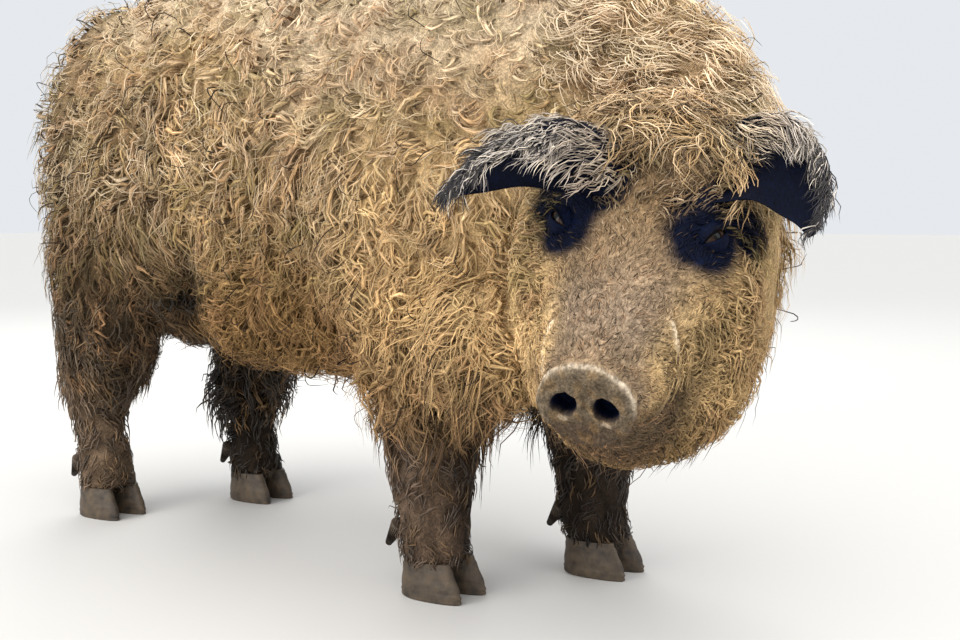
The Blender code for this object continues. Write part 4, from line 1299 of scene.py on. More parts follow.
def addCoat(name, locks, look, slot):
    # Splits the locks into pieces that stay under the limit
    rng = np.random.default_rng(lockForm["seed"])
    count = len(locks["points"])
    triangles = count * len(locks["faces"])
    parts = max(1, math.ceil(triangles / lockForm["mostTriangles"]))
    hairCount["all"] += triangles
    for part in range(parts):
        chosen = slice(part * count // parts, (part + 1) * count // parts)
        share = {**locks, **{key: locks[key][chosen] for key in ("points", "tone", "bake")}}
        mesh = lockMesh(name, share, rng)
        mesh.materials.append(look)
        piece = addObject(f"{name}_{part + 1}" if parts > 1 else name, mesh)
        settle(piece, slot)
    print(name, count, "locks", triangles, "triangles")


# Hair grows in tufts: the locks of one tuft share a way to lie, a curl and a tone, and draw together.
# In each kind of hair below, tufts and locks are numbers of them, lift is the height over the skin, low
# and high are shares of it, gather draws the locks together, turn and lockTurn let tufts and locks stray,
# drop makes free locks sag, and each layer has its own locks and may change any other value
# root darkens each lock towards the skin, painted shade in the coat; tip lightens its end as painted light,
# and darkens it as painted shade where it is under 0
hairCommon = {
    "look": "curled hair", "slot": "coat", "length": 1.0, "shade": 1.0, "thick": 0.5, "warm": 0.0,
    "pale": 0.0, "olive": -1, "dark": 0.0, "tinted": 0.0, "warmTint": "rust", "tint": "blond",
    "darkTint": "mud", "spread": 0.10, "root": 0.60, "tip": 0.14, "layers": {"": {}},
}
tuftChance = {"lift": (0.74, 1.10), "flick": (-0.34, 0.16), "tone": 0.09, "cloud": 0.14, "hue": 0.26,
              "hueCloud": 0.45, "mostHue": 0.9, "warm": 0.66, "olive": 0.70}
lockChance = {"length": (0.80, 1.16), "spin": (0.85, 1.15), "phase": 0.25, "pale": 0.24, "mostPale": 0.85,
              "dark": 0.93, "bright": (0.30, 1.8), "width": (0.65, 1.35), "thinAhead": 0.26}
rootSink = 0.002


def rootsBy(weight, grown=False):
    return lambda count, seed: scatter(count, weight, seed, grown)


def fullSize(points):
    return np.ones(len(points))


def valueAt(value, points):
    return value(points) if callable(value) else np.full(len(points), float(value))


def nearestIndex(points, centres):
    tree = plantTree(centres)
    return np.array([tree.find(point)[1] for point in points])


def makeTufts(form, source, wayOf, sizeOf, hangOf):
    rng = np.random.default_rng(form["seed"])
    chance = tuftChance
    centres, normals = source(form["tufts"], form["seed"])
    count = len(centres)
    tufts = {"centres": centres, "normals": normals, "size": sizeOf(centres)}
    hang = hangOf(centres) if hangOf else np.zeros(count)
    turn = rng.normal(0, form["turn"], count) * (1 - 0.50 * hang)
    tufts["ways"] = turned(wayOf(centres, normals), normals, turn)
    for key in ("length", "spin", "wave", "waves"):
        draw = rng.random(count)
        tufts[key] = 0.0
        for curl, share in ((form["curl"], 1 - hang), (form.get("hang", form["curl"]), hang)):
            low, high = curl[key]
            tufts[key] = tufts[key] + (low + (high - low) * draw) * share
    tufts["spin"] *= rng.choice((-1, 1), count)
    tufts["length"] *= np.clip(0.40 + 0.60 * tufts["size"], 0.3, 1.1)
    tufts["phase"] = rng.uniform(0, roundTurn, count)
    tufts["lift"] = form["lift"] * tufts["size"] * rng.uniform(*chance["lift"], count)
    tufts["flick"] = rng.uniform(*chance["flick"], count)
    tone = rng.normal(1.0, chance["tone"], count)
    tufts["tone"] = tone * (1 + chance["cloud"] * waveNoise("tuftTone", centres))
    cloud = chance["hueCloud"] * waveNoise("tuftHue", centres)
    for key, side in (("warm", 1), ("olive", -1)):
        hue = rng.normal(form[key], chance["hue"], count) + side * cloud
        tufts[key] = np.clip(hue, 0, chance["mostHue"]) * chance[key]
    return tufts


def layLocks(form, mine, roots, normals, rng):
    # The locks' paths. They follow the skin at a height or, where the form has a drop, stand free and sag
    chance = lockChance
    count, steps = len(roots), form["steps"]
    ups = normals if "drop" in form else mine["normals"]
    ways = turned(flatten(mine["ways"], ups), ups, rng.normal(0, form["lockTurn"], count))
    side = np.cross(ups, ways)
    length = mine["length"] * form["length"] * rng.uniform(*chance["length"], count)
    spin = mine["spin"] * rng.uniform(*chance["spin"], count)
    phase = mine["phase"] + rng.normal(0, chance["phase"], count)
    x, y = curlLine(length, mine["wave"], mine["waves"], phase, spin, steps)
    s = np.linspace(0, 1, steps)
    offset = roots - mine["centres"]
    x = x - (offset * ways).sum(axis=1)[:, None] * form["gather"][0] * s
    y = y - (offset * side).sum(axis=1)[:, None] * form["gather"][1] * s**0.6
    flat = roots[:, None] + ways[:, None] * x[..., None] + side[:, None] * y[..., None]
    level = form["low"] + (form["high"] - form["low"]) * rng.random(count)
    lift = (mine["lift"] * level)[:, None]
    if "drop" in form:
        base, ups = flat, np.repeat(ups[:, None], steps, axis=1)
        base[..., 2] -= form["drop"] * length[:, None] * s**2
        height = lift * np.sin(np.minimum(1, s / 0.5) * math.pi / 2)
    else:
        base, ups = onSkin(flat)
        height = lift * np.sin(np.minimum(1, s / 0.36) * math.pi / 2)
        height = height * (1 + mine["flick"][:, None] * smoothStep(0.45, 1.0, s))
    return base + ups * (height - rootSink * (s == 0))[..., None], ups, level


def tintLocks(form, mine, roots, lying, level, rng):
    # Each lock has the colour of the skin where it lies, moved towards the tints of its tuft and kind. It is
    # darker at the root and deeper in the coat, painted shade, and locks high in the coat on the upper body
    # turn pale, a painted highlight. The tip value lightens the tip as painted light, and darkens it as
    # painted shade where it is under 0
    chance = lockChance
    count = len(roots)
    clear = 1 - patchMask(toHead(lying))
    colour = mixTint(markings(lying), form["warmTint"], mine["warm"] * clear)
    colour = mixTint(colour, "olive", zone(roots, mine["olive"], height=(0.36, 0.50)))
    colour = mixTint(colour, form["tint"], valueAt(form["tinted"], roots))
    # Painted highlight: pale on locks high in the coat over the upper body
    shine = np.clip(rng.normal(form["pale"], chance["pale"], count), 0, chance["mostPale"])
    colour = mixTint(colour, "pale", zone(roots, shine, height=(0.40, 0.64)) * level * clear)
    dark = rng.random(count) < valueAt(form["dark"], roots)
    colour = mixTint(colour, form["darkTint"], dark * chance["dark"])
    # Painted shade: locks lower in the coat are darker
    bright = mine["tone"] * form["shade"] * rng.normal(1, form["spread"], count) * (0.80 + 0.28 * level)
    bright = np.clip(bright, *chance["bright"])
    s = np.linspace(0, 1, form["steps"])
    # Painted shade at the root, painted light at the tip, painted shade there instead where tip is under 0
    rise = form["root"] + (1 - form["root"]) * smoothStep(0.05, 0.45, s) + form["tip"] * smoothStep(0.5, 1, s)
    return colour[:, None, :] * rise[None, :, None] * bright[:, None, None]


def growLocks(tufts, form, source, seed):
    rng = np.random.default_rng(seed)
    roots, normals = source(form["locks"], seed)
    own = nearestIndex(roots, tufts["centres"])
    mine = {key: values[own] for key, values in tufts.items()}
    paths, ups, level = layLocks(form, mine, roots, normals, rng)
    tones = tintLocks(form, mine, roots, paths[:, form["steps"] // 2], level, rng)
    width = form["width"] * rng.uniform(*lockChance["width"], len(roots))
    width = width * np.clip(0.5 + 0.5 * mine["size"], 0.4, 1)
    width = width * (1 - zone(roots, lockChance["thinAhead"], x=(0.0, 0.40)))
    return lockArrays(paths, ups, width, width * form["thick"], tones, roots)


def growCoat(name, form, source, wayOf, sizeOf=fullSize, hangOf=None):
    form = {**hairCommon, **form}
    tufts = makeTufts(form, source, wayOf, sizeOf, hangOf)
    for number, (word, layer) in enumerate(form["layers"].items()):
        layer = {**form, **layer}
        locks = growLocks(tufts, layer, source, form["seed"] + 1 + number)
        addCoat(name + word, locks, looks[layer["look"]], layer["slot"])


# The fleece: broad felted wisps with finer curls over them
def rumpDark(points):
    # The share of dark hairs
    return 0.02 + zone(points, 0.13, x=(-0.15, -0.45))


fleece = {
    "seed": 110, "tufts": 5200, "lift": 0.033, "gather": (0.12, 0.32), "turn": 0.70, "warm": 0.16,
    "pale": 0.24, "olive": 0.14, "spread": 0.14, "root": 0.74, "tip": 0.06,
    "curl": {"length": (0.030, 0.052), "spin": (1.3, 4.3), "wave": (0.0, 0.5), "waves": (0.6, 1.2)},
    "hang": {"length": (0.052, 0.086), "spin": (0.0, 1.1), "wave": (0.35, 0.95), "waves": (1.0, 2.0)},
    "layers": {
        "_wisps": {"locks": 8800, "steps": 6, "length": 0.86, "width": 0.0080, "low": 0.42, "high": 0.78,
                   "lockTurn": 0.26, "shade": 0.98, "thick": 0.24, "pale": 0.02, "look": "felted hair"},
        "_curls": {"locks": 25000, "steps": 5, "length": 0.95, "width": 0.0014, "low": 0.58, "high": 1.06,
                   "lockTurn": 0.18, "shade": 1.04, "pale": 0.30, "dark": rumpDark},
    },
}
coatForm = {"face": 0.24, "edge": 0.10, "crown": 0.60, "legs": 0.40, "rump": 0.25, "fold": 0.90,
            "cheek": 0.35, "hind": 0.38, "even": 0.97, "clouds": 0.14, "grain": 0.15}


def fleeceWeight(points):
    near = toHead(points)
    legs = smoothStep(0.22, 0.30, points[:, 2] + 0.03 * hindMask(points)) + headMask(near)
    beside = zone(near, along=(-0.60, -0.50), above=(0.10, 0.02))
    finer = 1 + zone(points, 0.80, x=(0.05, 0.40)) + beside
    return np.clip(1 - bareMask(near), 0, 1) * np.clip(legs, 0, 1) * finer


def coatDepth(points):
    # How deep the coat is over the skin, as a share of its full depth
    form = coatForm
    near = toHead(points)
    head = headMask(near)
    behindFace = smoothStep(0.0, -0.10, pastFaceEdge(near))
    crown = np.maximum(zone(near, around=(0.95, 0.55)), zone(near, along=(-0.33, -0.40)))
    depth = 1 - head * (1 - (form["face"] + (form["edge"] + form["crown"] * crown) * behindFace))
    depth *= 1 - zone(points, form["legs"], height=(0.28, 0.22)) * (1 - head)
    depth *= 1 + zone(points, form["rump"], x=(-0.40, -0.52), height=(0.55, 0.70))
    depth *= (1 - form["fold"] * foldMask(points)) * (1 - form["cheek"] * cheekTuck(near))
    depth *= 1 - zone(points, form["hind"] * hindMask(points), height=(0.50, 0.38))
    uneven = form["clouds"] * waveNoise("depth", points)
    return depth * (form["even"] + uneven + form["grain"] * waveNoise("depthGrain", points))


def hangShare(points):
    # 1 where the hair hangs in waves, low on the body and beside the cheeks, 0 where it curls
    low = smoothStep(0.62, 0.40, points[:, 2] + 0.06 * waveNoise("hang", points))
    beside = zone(toHead(points), along=(-0.62, -0.50), above=(0.12, 0.04))
    return np.maximum(low, beside * 0.85)


def lieWays(points, normals):
    # The way the coat falls: down and back on the body, to both sides of the back, forward on the poll
    near = toHead(points)
    ways = np.tile((-0.30, 0.0, -1.0), (len(points), 1))
    top = smoothStep(0.55, 0.95, normals[:, 2])
    ways[:, 1] += top * np.sign(points[:, 1]) * 0.9
    ways[:, 0] -= top * 0.4
    poll = zone(near, along=(-0.52, -0.40), above=(0.02, 0.10), side=(0.18, 0.10))
    cheek = zone(near, headMask(near), above=(0.10, 0.02))
    ways = ways + (headTurn @ (1.0, 0, 0.0)) * (poll * 1.8)[:, None]
    ways = ways + (headTurn @ (-0.9, 0, -0.5)) * (cheek * 1.4)[:, None]
    swirl = 0.8 * waveNoise("swirl", points) + 0.4 * waveNoise("whirls", points)
    return turned(flatten(ways, normals), normals, swirl * (1 - 0.35 * hangShare(points)))


growCoat("fleece", fleece, rootsBy(fleeceWeight), lieWays, coatDepth, hangShare)

# Short hair on the face, longer towards the cheeks
faceHair = {
    "seed": 120, "slot": "face", "tufts": 2600, "locks": 7600, "steps": 4, "width": 0.0017, "lift": 0.0030,
    "low": 0.4, "high": 1.4, "gather": (0.1, 0.45), "turn": 0.30, "lockTurn": 0.35, "drop": 0.0,
    "warm": 0.05, "pale": 0.10, "dark": 0.10, "spread": 0.28, "root": 0.7,
    "curl": {"length": (0.009, 0.015), "spin": (0.0, 0.5), "wave": (0.0, 0.3), "waves": (0.5, 1.0)},
}
cheekHair = {
    "seed": 130, "slot": "face", "tufts": 1300, "steps": 5, "lift": 0.023, "gather": (0.25, 0.75),
    "turn": 0.30, "warm": 0.12, "pale": 0.16, "olive": 0.20, "spread": 0.14,
    "curl": {"length": (0.024, 0.048), "spin": (0.0, 1.0), "wave": (0.2, 0.8), "waves": (0.8, 1.6)},
    "layers": {
        "_wisps": {"locks": 2600, "length": 0.92, "width": 0.0062, "low": 0.35, "high": 0.90,
                   "lockTurn": 0.24, "thick": 0.26, "look": "felted hair"},
        "": {"locks": 3600, "width": 0.0018, "low": 0.50, "high": 1.0, "lockTurn": 0.22, "shade": 1.02},
    },
}


def awayFromEyes(near):
    return smoothStep(0.012, 0.018, eyeGap(near)) * zone(near, along=(-0.006, -0.018))


def faceWeight(points):
    near = toHead(points)
    return smoothStep(0.02, 0.3, bareMask(near)) * awayFromEyes(near)


def cheekWeight(points):
    near = toHead(points)
    edge = pastFaceEdge(near)
    band = smoothStep(0.085, 0.03, edge) * smoothStep(-0.12, -0.06, edge)
    return band * headMask(near) * awayFromEyes(near) * (0.35 + zone(near, 0.65, around=(0.9, 1.3)))


def cheekGrowth(points):
    # 0 at the front edge of the long hair, 1 behind it
    return smoothStep(0.07, -0.04, pastFaceEdge(toHead(points)))


def faceSize(points):
    return 0.8 + 0.9 * cheekGrowth(points)


def cheekSize(points):
    return (0.22 + 0.70 * cheekGrowth(points)) * (1 - 0.45 * cheekTuck(toHead(points)))


def faceWays(points, normals):
    # Up and back from the snout, parting to both sides
    near = toHead(points)
    ways = np.array((-0.6, 0.0, -0.25)) + near * (0, 2.4, 0)
    return turned(flatten(ways @ headTurn.T, normals), normals, 0.5 * waveNoise("faceWays", near))


def sameWay(way, points, normals):
    return flatten(np.tile(way, (len(points), 1)), normals)


def cheekWays(points, normals):
    ways = faceWays(points, normals) + sameWay((-0.2, -0.1, -1.0), points, normals) * 0.9
    return turned(unit(ways), normals, 0.6 * waveNoise("cheekWays", points))


growCoat("face_hair", faceHair, rootsBy(faceWeight, True), faceWays, faceSize)
growCoat("cheek_hair", cheekHair, rootsBy(cheekWeight), cheekWays, cheekSize)

# Wet hair on the lower legs, longer on the thighs and behind the hocks
legHair = {
    "seed": 140, "slot": "muddy_leg", "look": "muddy hair", "warmTint": "ochre", "tufts": 900, "locks": 4300,
    "steps": 5, "width": 0.0040, "lift": 0.0065, "low": 0.3, "high": 1.3, "gather": (0.2, 0.85),
    "turn": 0.25, "lockTurn": 0.14, "drop": 0.05, "spread": 0.25,
    "curl": {"length": (0.024, 0.042), "spin": (0.0, 0.8), "wave": (0.2, 0.9), "waves": (0.6, 1.5)},
}
breeches = {
    "seed": 150, "slot": "muddy_leg", "look": "muddy hair", "warmTint": "ochre", "tufts": 420, "locks": 2400,
    "steps": 6, "width": 0.0032, "lift": 0.015, "low": 0.3, "high": 1.2, "gather": (0.2, 0.8),
    "turn": 0.35, "lockTurn": 0.2, "drop": 0.10, "spread": 0.2, "root": 0.55,
    "curl": {"length": (0.038, 0.066), "spin": (0.0, 0.9), "wave": (0.3, 0.9), "waves": (0.8, 1.6)},
}
hockCuff = {"height": 0.20, "width": 0.050, "bulk": 1.1}


def legWeight(points):
    # Closest round the coronet, over the hooves
    skinShare = zone(points, height=(0.34, 0.27, 0.046, 0.052)) * (1 - headMask(toHead(points)))
    return skinShare * (1 + zone(points, 1.4, height=(0.085, 0.060)))


def hockBulk(points):
    # The hair of the left hock is clotted into a thick cuff
    left = zone(points, left=(0.0, 0.04)) * hindMask(points)
    return 1 + hockCuff["bulk"] * left * hump(points[:, 2], hockCuff["width"], hockCuff["height"])


def legSize(points):
    return (0.55 + zone(points, 0.75, height=(0.10, 0.28))) * hockBulk(points)


def breechWeight(points):
    low = smoothStep(0.20, 0.24, points[:, 2] + zone(points, 0.055, left=(0.0, 0.04)))
    return zone(points, height=(0.44, 0.36)) * low * hindMask(points) * hockBulk(points)


def downWays(points, normals):
    return turned(sameWay((-0.12, 0.0, -1.0), points, normals), normals, 0.45 * waveNoise("downWays", points))


growCoat("leg_hair", legHair, rootsBy(legWeight), downWays, legSize)
growCoat("breeches", breeches, rootsBy(breechWeight), downWays, hockBulk)

# Long free locks: forelock, mane, the bib on the breast, beard and belly fringe, loose dark hairs
# The forelock's tip under 0 darkens its ends as painted shade
forelock = {
    "seed": 160, "tufts": 120, "locks": 1500, "steps": 7, "width": 0.0023, "lift": 0.030, "low": 0.35,
    "high": 1.05, "gather": (0.2, 0.86), "turn": 0.28, "lockTurn": 0.14, "drop": 0.16, "warm": 0.30,
    "pale": 0.10, "dark": 0.12, "tint": "golden", "tinted": 0.25, "spread": 0.28, "root": 0.34,
    "tip": -0.10, "shade": 0.93,
    "curl": {"length": (0.046, 0.084), "spin": (0.0, 2.2), "wave": (0.3, 0.9), "waves": (0.8, 1.6)},
}
mane = {
    "seed": 170, "tufts": 110, "locks": 1000, "steps": 8, "width": 0.0022, "lift": 0.040, "low": 0.5,
    "high": 1.05, "gather": (0.2, 0.86), "turn": 0.30, "lockTurn": 0.10, "drop": 0.10, "warm": 0.12,
    "pale": 0.62, "spread": 0.12, "shade": 1.05,
    "curl": {"length": (0.045, 0.085), "spin": (1.5, 5.2), "wave": (0.1, 0.6), "waves": (0.8, 1.6)},
}
bib = {
    "seed": 240, "tufts": 230, "locks": 1900, "steps": 6, "width": 0.0034, "lift": 0.022, "low": 0.3,
    "high": 1.1, "gather": (0.2, 0.75), "turn": 0.30, "lockTurn": 0.15, "drop": 0.55, "warm": 0.15,
    "dark": 0.10, "spread": 0.16, "tip": -0.25, "look": "felted hair",
    "curl": {"length": (0.045, 0.080), "spin": (0.0, 0.9), "wave": (0.3, 0.9), "waves": (1.0, 1.8)},
}
beard = {
    "seed": 180, "tufts": 420, "locks": 1000, "steps": 6, "width": 0.0018, "lift": 0.012, "low": 0.3,
    "high": 1.6, "gather": (0.2, 0.8), "turn": 0.55, "lockTurn": 0.3, "drop": 0.30, "dark": 0.72,
    "spread": 0.2, "shade": 0.9,
    "curl": {"length": (0.018, 0.052), "spin": (0.0, 1.0), "wave": (0.4, 1.1), "waves": (0.8, 1.8)},
}
strays = {
    "seed": 190, "tufts": 560, "locks": 500, "steps": 9, "width": 0.0020, "lift": 0.038, "low": 0.95,
    "high": 1.05, "gather": (0.0, 0.0), "turn": 1.0, "lockTurn": 0.4, "dark": 1.0, "spread": 0.2,
    "root": 1.0, "shade": 0.42, "thick": 0.6,
    "curl": {"length": (0.026, 0.064), "spin": (0.8, 3.4), "wave": (0.1, 0.5), "waves": (0.5, 1.2)},
}


def forelockWeight(points):
    near = toHead(points)
    along = zone(near, along=(-0.42, -0.37, -0.270, -0.300))
    return zone(near, along, above=(0.06, 0.10), side=(0.100, 0.075))


def maneWeight(points):
    near = toHead(points)
    along = zone(near, along=(-0.58, -0.50, -0.385, -0.42))
    return zone(near, along, above=(0.02, 0.08), side=(0.17, 0.12))


def bibWeight(points):
    # Under the neck and the breast, in front of the legs
    return zone(points, height=(0.43, 0.37, 0.23, 0.27), x=(0.30, 0.38)) * (1 - headMask(toHead(points)))


def beardWeight(points):
    # On the jowls, the chin and along the belly
    near = toHead(points)
    head = headMask(near)
    jowl = zone(near, head, above=(-0.12, -0.18), along=(-0.08, -0.12))
    chin = zone(near, head, above=(-0.055, -0.080), along=(-0.045, -0.070))
    belly = zone(points, height=(0.34, 0.30, 0.26, 0.29))
    return jowl + 0.7 * chin + 0.5 * belly * (1 - head)


def strayWeight(points):
    return fleeceWeight(points) * coatDepth(points) ** 2


def forwardWays(points, normals):
    near = toHead(points)
    ways = np.stack([np.ones(len(near)), near[:, 1] * 3.5, np.full(len(near), 0.03)], axis=1)
    return turned(flatten(ways @ headTurn.T, normals), normals, 0.6 * waveNoise("forwardWays", points))


def sagWays(points, normals):
    return sameWay((-0.6, 0.1, -0.8), points, normals)


growCoat("forelock", forelock, rootsBy(forelockWeight), forwardWays)
growCoat("mane", mane, rootsBy(maneWeight), forwardWays)
growCoat("bib", bib, rootsBy(bibWeight), sagWays)
growCoat("beard", beard, rootsBy(beardWeight), sagWays)
growCoat("strays", strays, rootsBy(strayWeight), lieWays, coatDepth)

# Grey hair on the ears, combed along them and over their edges, dark towards the tip
earHair = {
    "right": {"seed": 200, "locks": 1450, "length": (0.024, 0.058), "across": (0.04, 0.42), "lean": 0.22,
              "fall": 0.66, "dark": (0.30, 0.95), "darkBelow": (0.0, -1.0)},
    "left": {"seed": 210, "locks": 1000, "length": (0.022, 0.050), "across": (0.58, 0.86), "lean": 0.34,
             "fall": 0.62, "dark": (0.60, 1.00), "darkBelow": (0.602, 0.574)},
}
earCoat = {
    "slot": "ear", "look": "ear hair", "tint": "silver", "darkTint": "ear", "steps": 6, "width": 0.0021,
    "lift": 0.0075, "low": 0.3, "high": 1.4, "gather": (0.1, 0.6), "turn": 0.16, "lockTurn": 0.14,
    "drop": 0.14, "spread": 0.28,
}


def addEarHair(name, form):
    hair = earHair[name]

    def source(count, seed):
        rng = np.random.default_rng(seed)
        t = rng.uniform(0.04, 0.97, count)
        low, high = hair["across"]
        low = low + (high - low) * smoothStep(0.15, 0.60, t)
        s = np.clip(low + (1.02 - low) * rng.random(count) ** 0.8, 0.02, 0.99)
        point, out = earPoint(form, t, s)
        return fromHead(point + out * earMake["thick"] * 0.2), out @ headTurn.T

    def place(points):
        # Where on the ear each point is: t along it, s across it
        t, s = earGrid(50, 16)
        index = nearestIndex(toHead(points), earPoint(form, t, s)[0])
        return t[index], s[index]

    def wayOf(points, normals):
        t, s = place(points)
        point = earPoint(form, t, s)[0]
        ahead = earPoint(form, np.minimum(1, t + 0.08), s)[0]
        across = earPoint(form, t, np.clip(s - 0.10, 0, 1))[0]
        lean = (hair["lean"] + 0.25 * waveNoise("earWays", point))[:, None]
        ways = unit(ahead - point + 1e-6) * (1 - lean) + unit(across - point + 1e-6) * lean
        return flatten(ways @ headTurn.T, normals)

    def greyShare(points):
        return 0.40 + 0.60 * smoothStep(0.08, 0.55, place(points)[0])

    def darkShare(points):
        dark = np.maximum(smoothStep(*hair["dark"], place(points)[0]), zone(points, height=hair["darkBelow"]))
        return 0.16 + 0.72 * dark

    def sizeOf(points):
        return 1 - hair["fall"] * place(points)[0]

    curl = {"length": hair["length"], "spin": (0.0, 0.5), "wave": (0.1, 0.6), "waves": (0.8, 1.6)}
    coat = {**earCoat, "seed": hair["seed"], "tufts": hair["locks"] // 4, "locks": hair["locks"],
            "tinted": greyShare, "dark": darkShare, "curl": curl}
    growCoat("ear_hair_" + name, coat, source, wayOf, sizeOf)


for name, form in earForms.items():
    addEarHair(name, form)

# Short lashes along the upper lids
lashes = {
    "slot": "eye", "look": "ear hair", "darkTint": "ear", "tufts": 24, "locks": 64, "steps": 5,
    "width": 0.0010, "lift": 0.001, "low": 0.5, "high": 1.0, "gather": (0.0, 0.3), "turn": 0.15,
    "lockTurn": 0.15, "drop": -0.15, "dark": 1.0, "row": 0.92, "over": 0.0008, "fan": 20,
    "curl": {"length": (0.009, 0.013), "spin": (0.0, 0.5), "wave": (0.0, 0.1), "waves": (0.5, 1.0)},
}


def addLashes(name, side, seed):
    out, across, over = eyeAxes(side)
    middle = mirrored(eyeForm["at"], side)
    radius = eyeForm["radius"] + lidForm["over"]

    def source(count, seed):
        u = np.linspace(-lashes["row"], lashes["row"], count)
        y = lidForm["open"] * (1 - u * u) ** lidForm["round"]
        x = u * lidForm["width"]
        deep = np.sqrt(np.maximum(radius**2 - x**2 - y**2, 1e-8))
        points = middle + x[:, None] * across + (y + lashes["over"])[:, None] * over + deep[:, None] * out
        return fromHead(points), np.tile(headTurn @ over, (count, 1))

    def wayOf(points, normals):
        ways = np.tile(headTurn @ out, (len(points), 1)) + lashes["fan"] * (points - fromHead(middle))
        return flatten(ways, normals)

    growCoat("lashes_" + name, {**lashes, "seed": seed}, source, wayOf)


addLashes("right", -1, 250)
addLashes("left", 1, 260)

# The tail's tassel
tassel = {
    "seed": 220, "tufts": 50, "locks": 420, "steps": 8, "width": 0.0034, "lift": 0.014, "low": 0.3,
    "high": 1.2, "gather": (0.1, 0.5), "turn": 0.2, "lockTurn": 0.2, "drop": 0.0, "warm": 0.1,
    "pale": 0.1, "tint": "ochre", "tinted": 0.45, "spread": 0.2, "shade": 0.95,
    "curl": {"length": (0.040, 0.100), "spin": (0.0, 0.6), "wave": (0.4, 1.0), "waves": (1.0, 2.0)},
}


def tailRoots(count, seed):
    # Round the tail, closer together towards its tip
    rng = np.random.default_rng(seed)
    t = rng.uniform(0.02, 1.0, count) ** 0.7
    angle = rng.uniform(0, roundTurn, count)
    normals = unit(np.stack([np.cos(angle), np.sin(angle), np.full(count, -0.1)], axis=1))
    return bezier(tailForm["line"], t) + normals * (tailRadius(t) * 0.8)[:, None], normals


def tasselSize(points):
    return 0.3 + zone(points, 0.8, height=(0.76, 0.55))


growCoat("tail_tassel", tassel, tailRoots, downWays, tasselSize)
print("hair triangles", hairCount["all"])


# Eyes
def eyeMaterial():
    made, nodes, links, shader = newMaterial("wet eye", 0.22, 0.14)
    shader.inputs["Coat Weight"].default_value = 0.07
    shader.inputs["Coat Roughness"].default_value = 0.05
    fibre = addNoise(nodes, links, objectPlace(nodes), 900, 3, 0.7, 1.3)
    links.new(scaleColour(nodes, links, paintedTint(nodes), fibre), shader.inputs["Base Color"])
    return made


def addEye(word, side, look):
    form = eyeForm
    bm = bmesh.new()
    verts = bmesh.ops.create_uvsphere(bm, u_segments=48, v_segments=32, radius=form["radius"])["verts"]
    out = Vector(mirrored(form["faces"], side)).normalized()
    at = Vector(mirrored(form["at"], side))
    turn = Vector(zAxis).rotation_difference(out).to_matrix().to_4x4()
    bmesh.ops.transform(bm, verts=verts, matrix=headFrame @ Matrix.Translation(at) @ turn)
    eye = addObject("eyeball_" + word, meshFrom(bm, "eyeball_" + word))
    points = toHead(readPoints(eye.data)) - np.array(at)
    away = np.arccos(np.clip(unit(points) @ np.array(out), -1, 1))
    colour = np.tile(form["white"], (len(points), 1))
    for part in ("iris", "pupil"):
        share = smoothStep(*form[part + "Edge"], away)[:, None]
        colour = colour + (np.array(form[part]) - colour) * share
    paint(eye.data, colour)
    dress(eye.data, look)
    settle(eye, "eye", "eye_" + word)


eyeLook = eyeMaterial()
for side, word in ((-1, "right"), (1, "left")):
    addEye(word, side, eyeLook)

# Hooves and dewclaws
hoofForm = {"split": 0.0245, "ahead": 0.004, "toeIn": 0.30, "splay": 0.04, "sides": 40, "perStep": 3,
            "ripple": 0.015, "ripples": 900, "crease": 50,
            "walls": ((0.0, 0.062, 0.036, 0.0220), (0.003, 0.064, 0.038, 0.0235),
                      (0.012, 0.063, 0.038, 0.0235), (0.028, 0.056, 0.037, 0.0222),
                      (0.043, 0.048, 0.036, 0.0210), (0.0517, 0.043, 0.034, 0.0195))}
clawForm = {"sides": 24, "root": 0.0125, "tip": 0.0045, "length": 0.044, "edge": 0.002, "edgeSteps": 2,
            "lean": 218, "splay": 0.12, "behind": 0.052, "out": 0.026, "height": 0.078}
hornTints = {"horn": (0.046, 0.035, 0.026), "bands": (0.022, 0.017, 0.014), "mud": (0.100, 0.070, 0.042)}


def hornMaterial():
    made, nodes, links, shader = newMaterial("muddy horn", 0.55, 0.35)
    place = objectPlace(nodes)
    squash = addMapping(nodes, links, place, (1, 1, 6))
    bands = addNoise(nodes, links, squash.outputs["Vector"], 45, 3, 0.0, 1.0)
    mud = addNoise(nodes, links, place, 60, 5, 0.0, 1.0)
    base = nodes.new("ShaderNodeRGB")
    base.outputs[0].default_value = (*hornTints["horn"], 1)
    colour = mixColour(nodes, links, bands, base.outputs[0], hornTints["bands"])
    colour = mixColour(nodes, links, mud, colour, hornTints["mud"])
    links.new(colour, shader.inputs["Base Color"])
    addBump(nodes, links, shader, mud, 0.5, 0.002)
    return made


def addHoof(name, foot, side, look):
    # One half of a hoof. Each ring of its wall is longer in front than behind and narrows to the toe
    form = hoofForm
    angle = 2 * math.pi * (np.arange(form["sides"]) + 0.5) / form["sides"]
    forwards = np.maximum(0, np.cos(angle))
    rings = []
    for height, front, back, halfWidth in resample(form["walls"], form["perStep"]):
        x = np.where(forwards > 0, front, back) * np.cos(angle)
        y = halfWidth * np.sin(angle) * (1 - form["toeIn"] * forwards)
        ripple = 1 + form["ripple"] * math.sin(height * form["ripples"])
        middle = foot[1] + side * (form["split"] + form["splay"] * np.maximum(0, x))
        level = np.full(len(x), max(0, height))
        rings.append(np.stack([foot[0] + form["ahead"] + x * ripple, middle + y * ripple, level], axis=1))
    bm = bmesh.new()
    loftForm(bm, rings)
    hoof = addObject(name, meshFrom(bm, name))
    dress(hoof.data, look)
    hoof.data.set_sharp_from_angle(angle=math.radians(form["crease"]))
    settle(hoof, "horn", name)


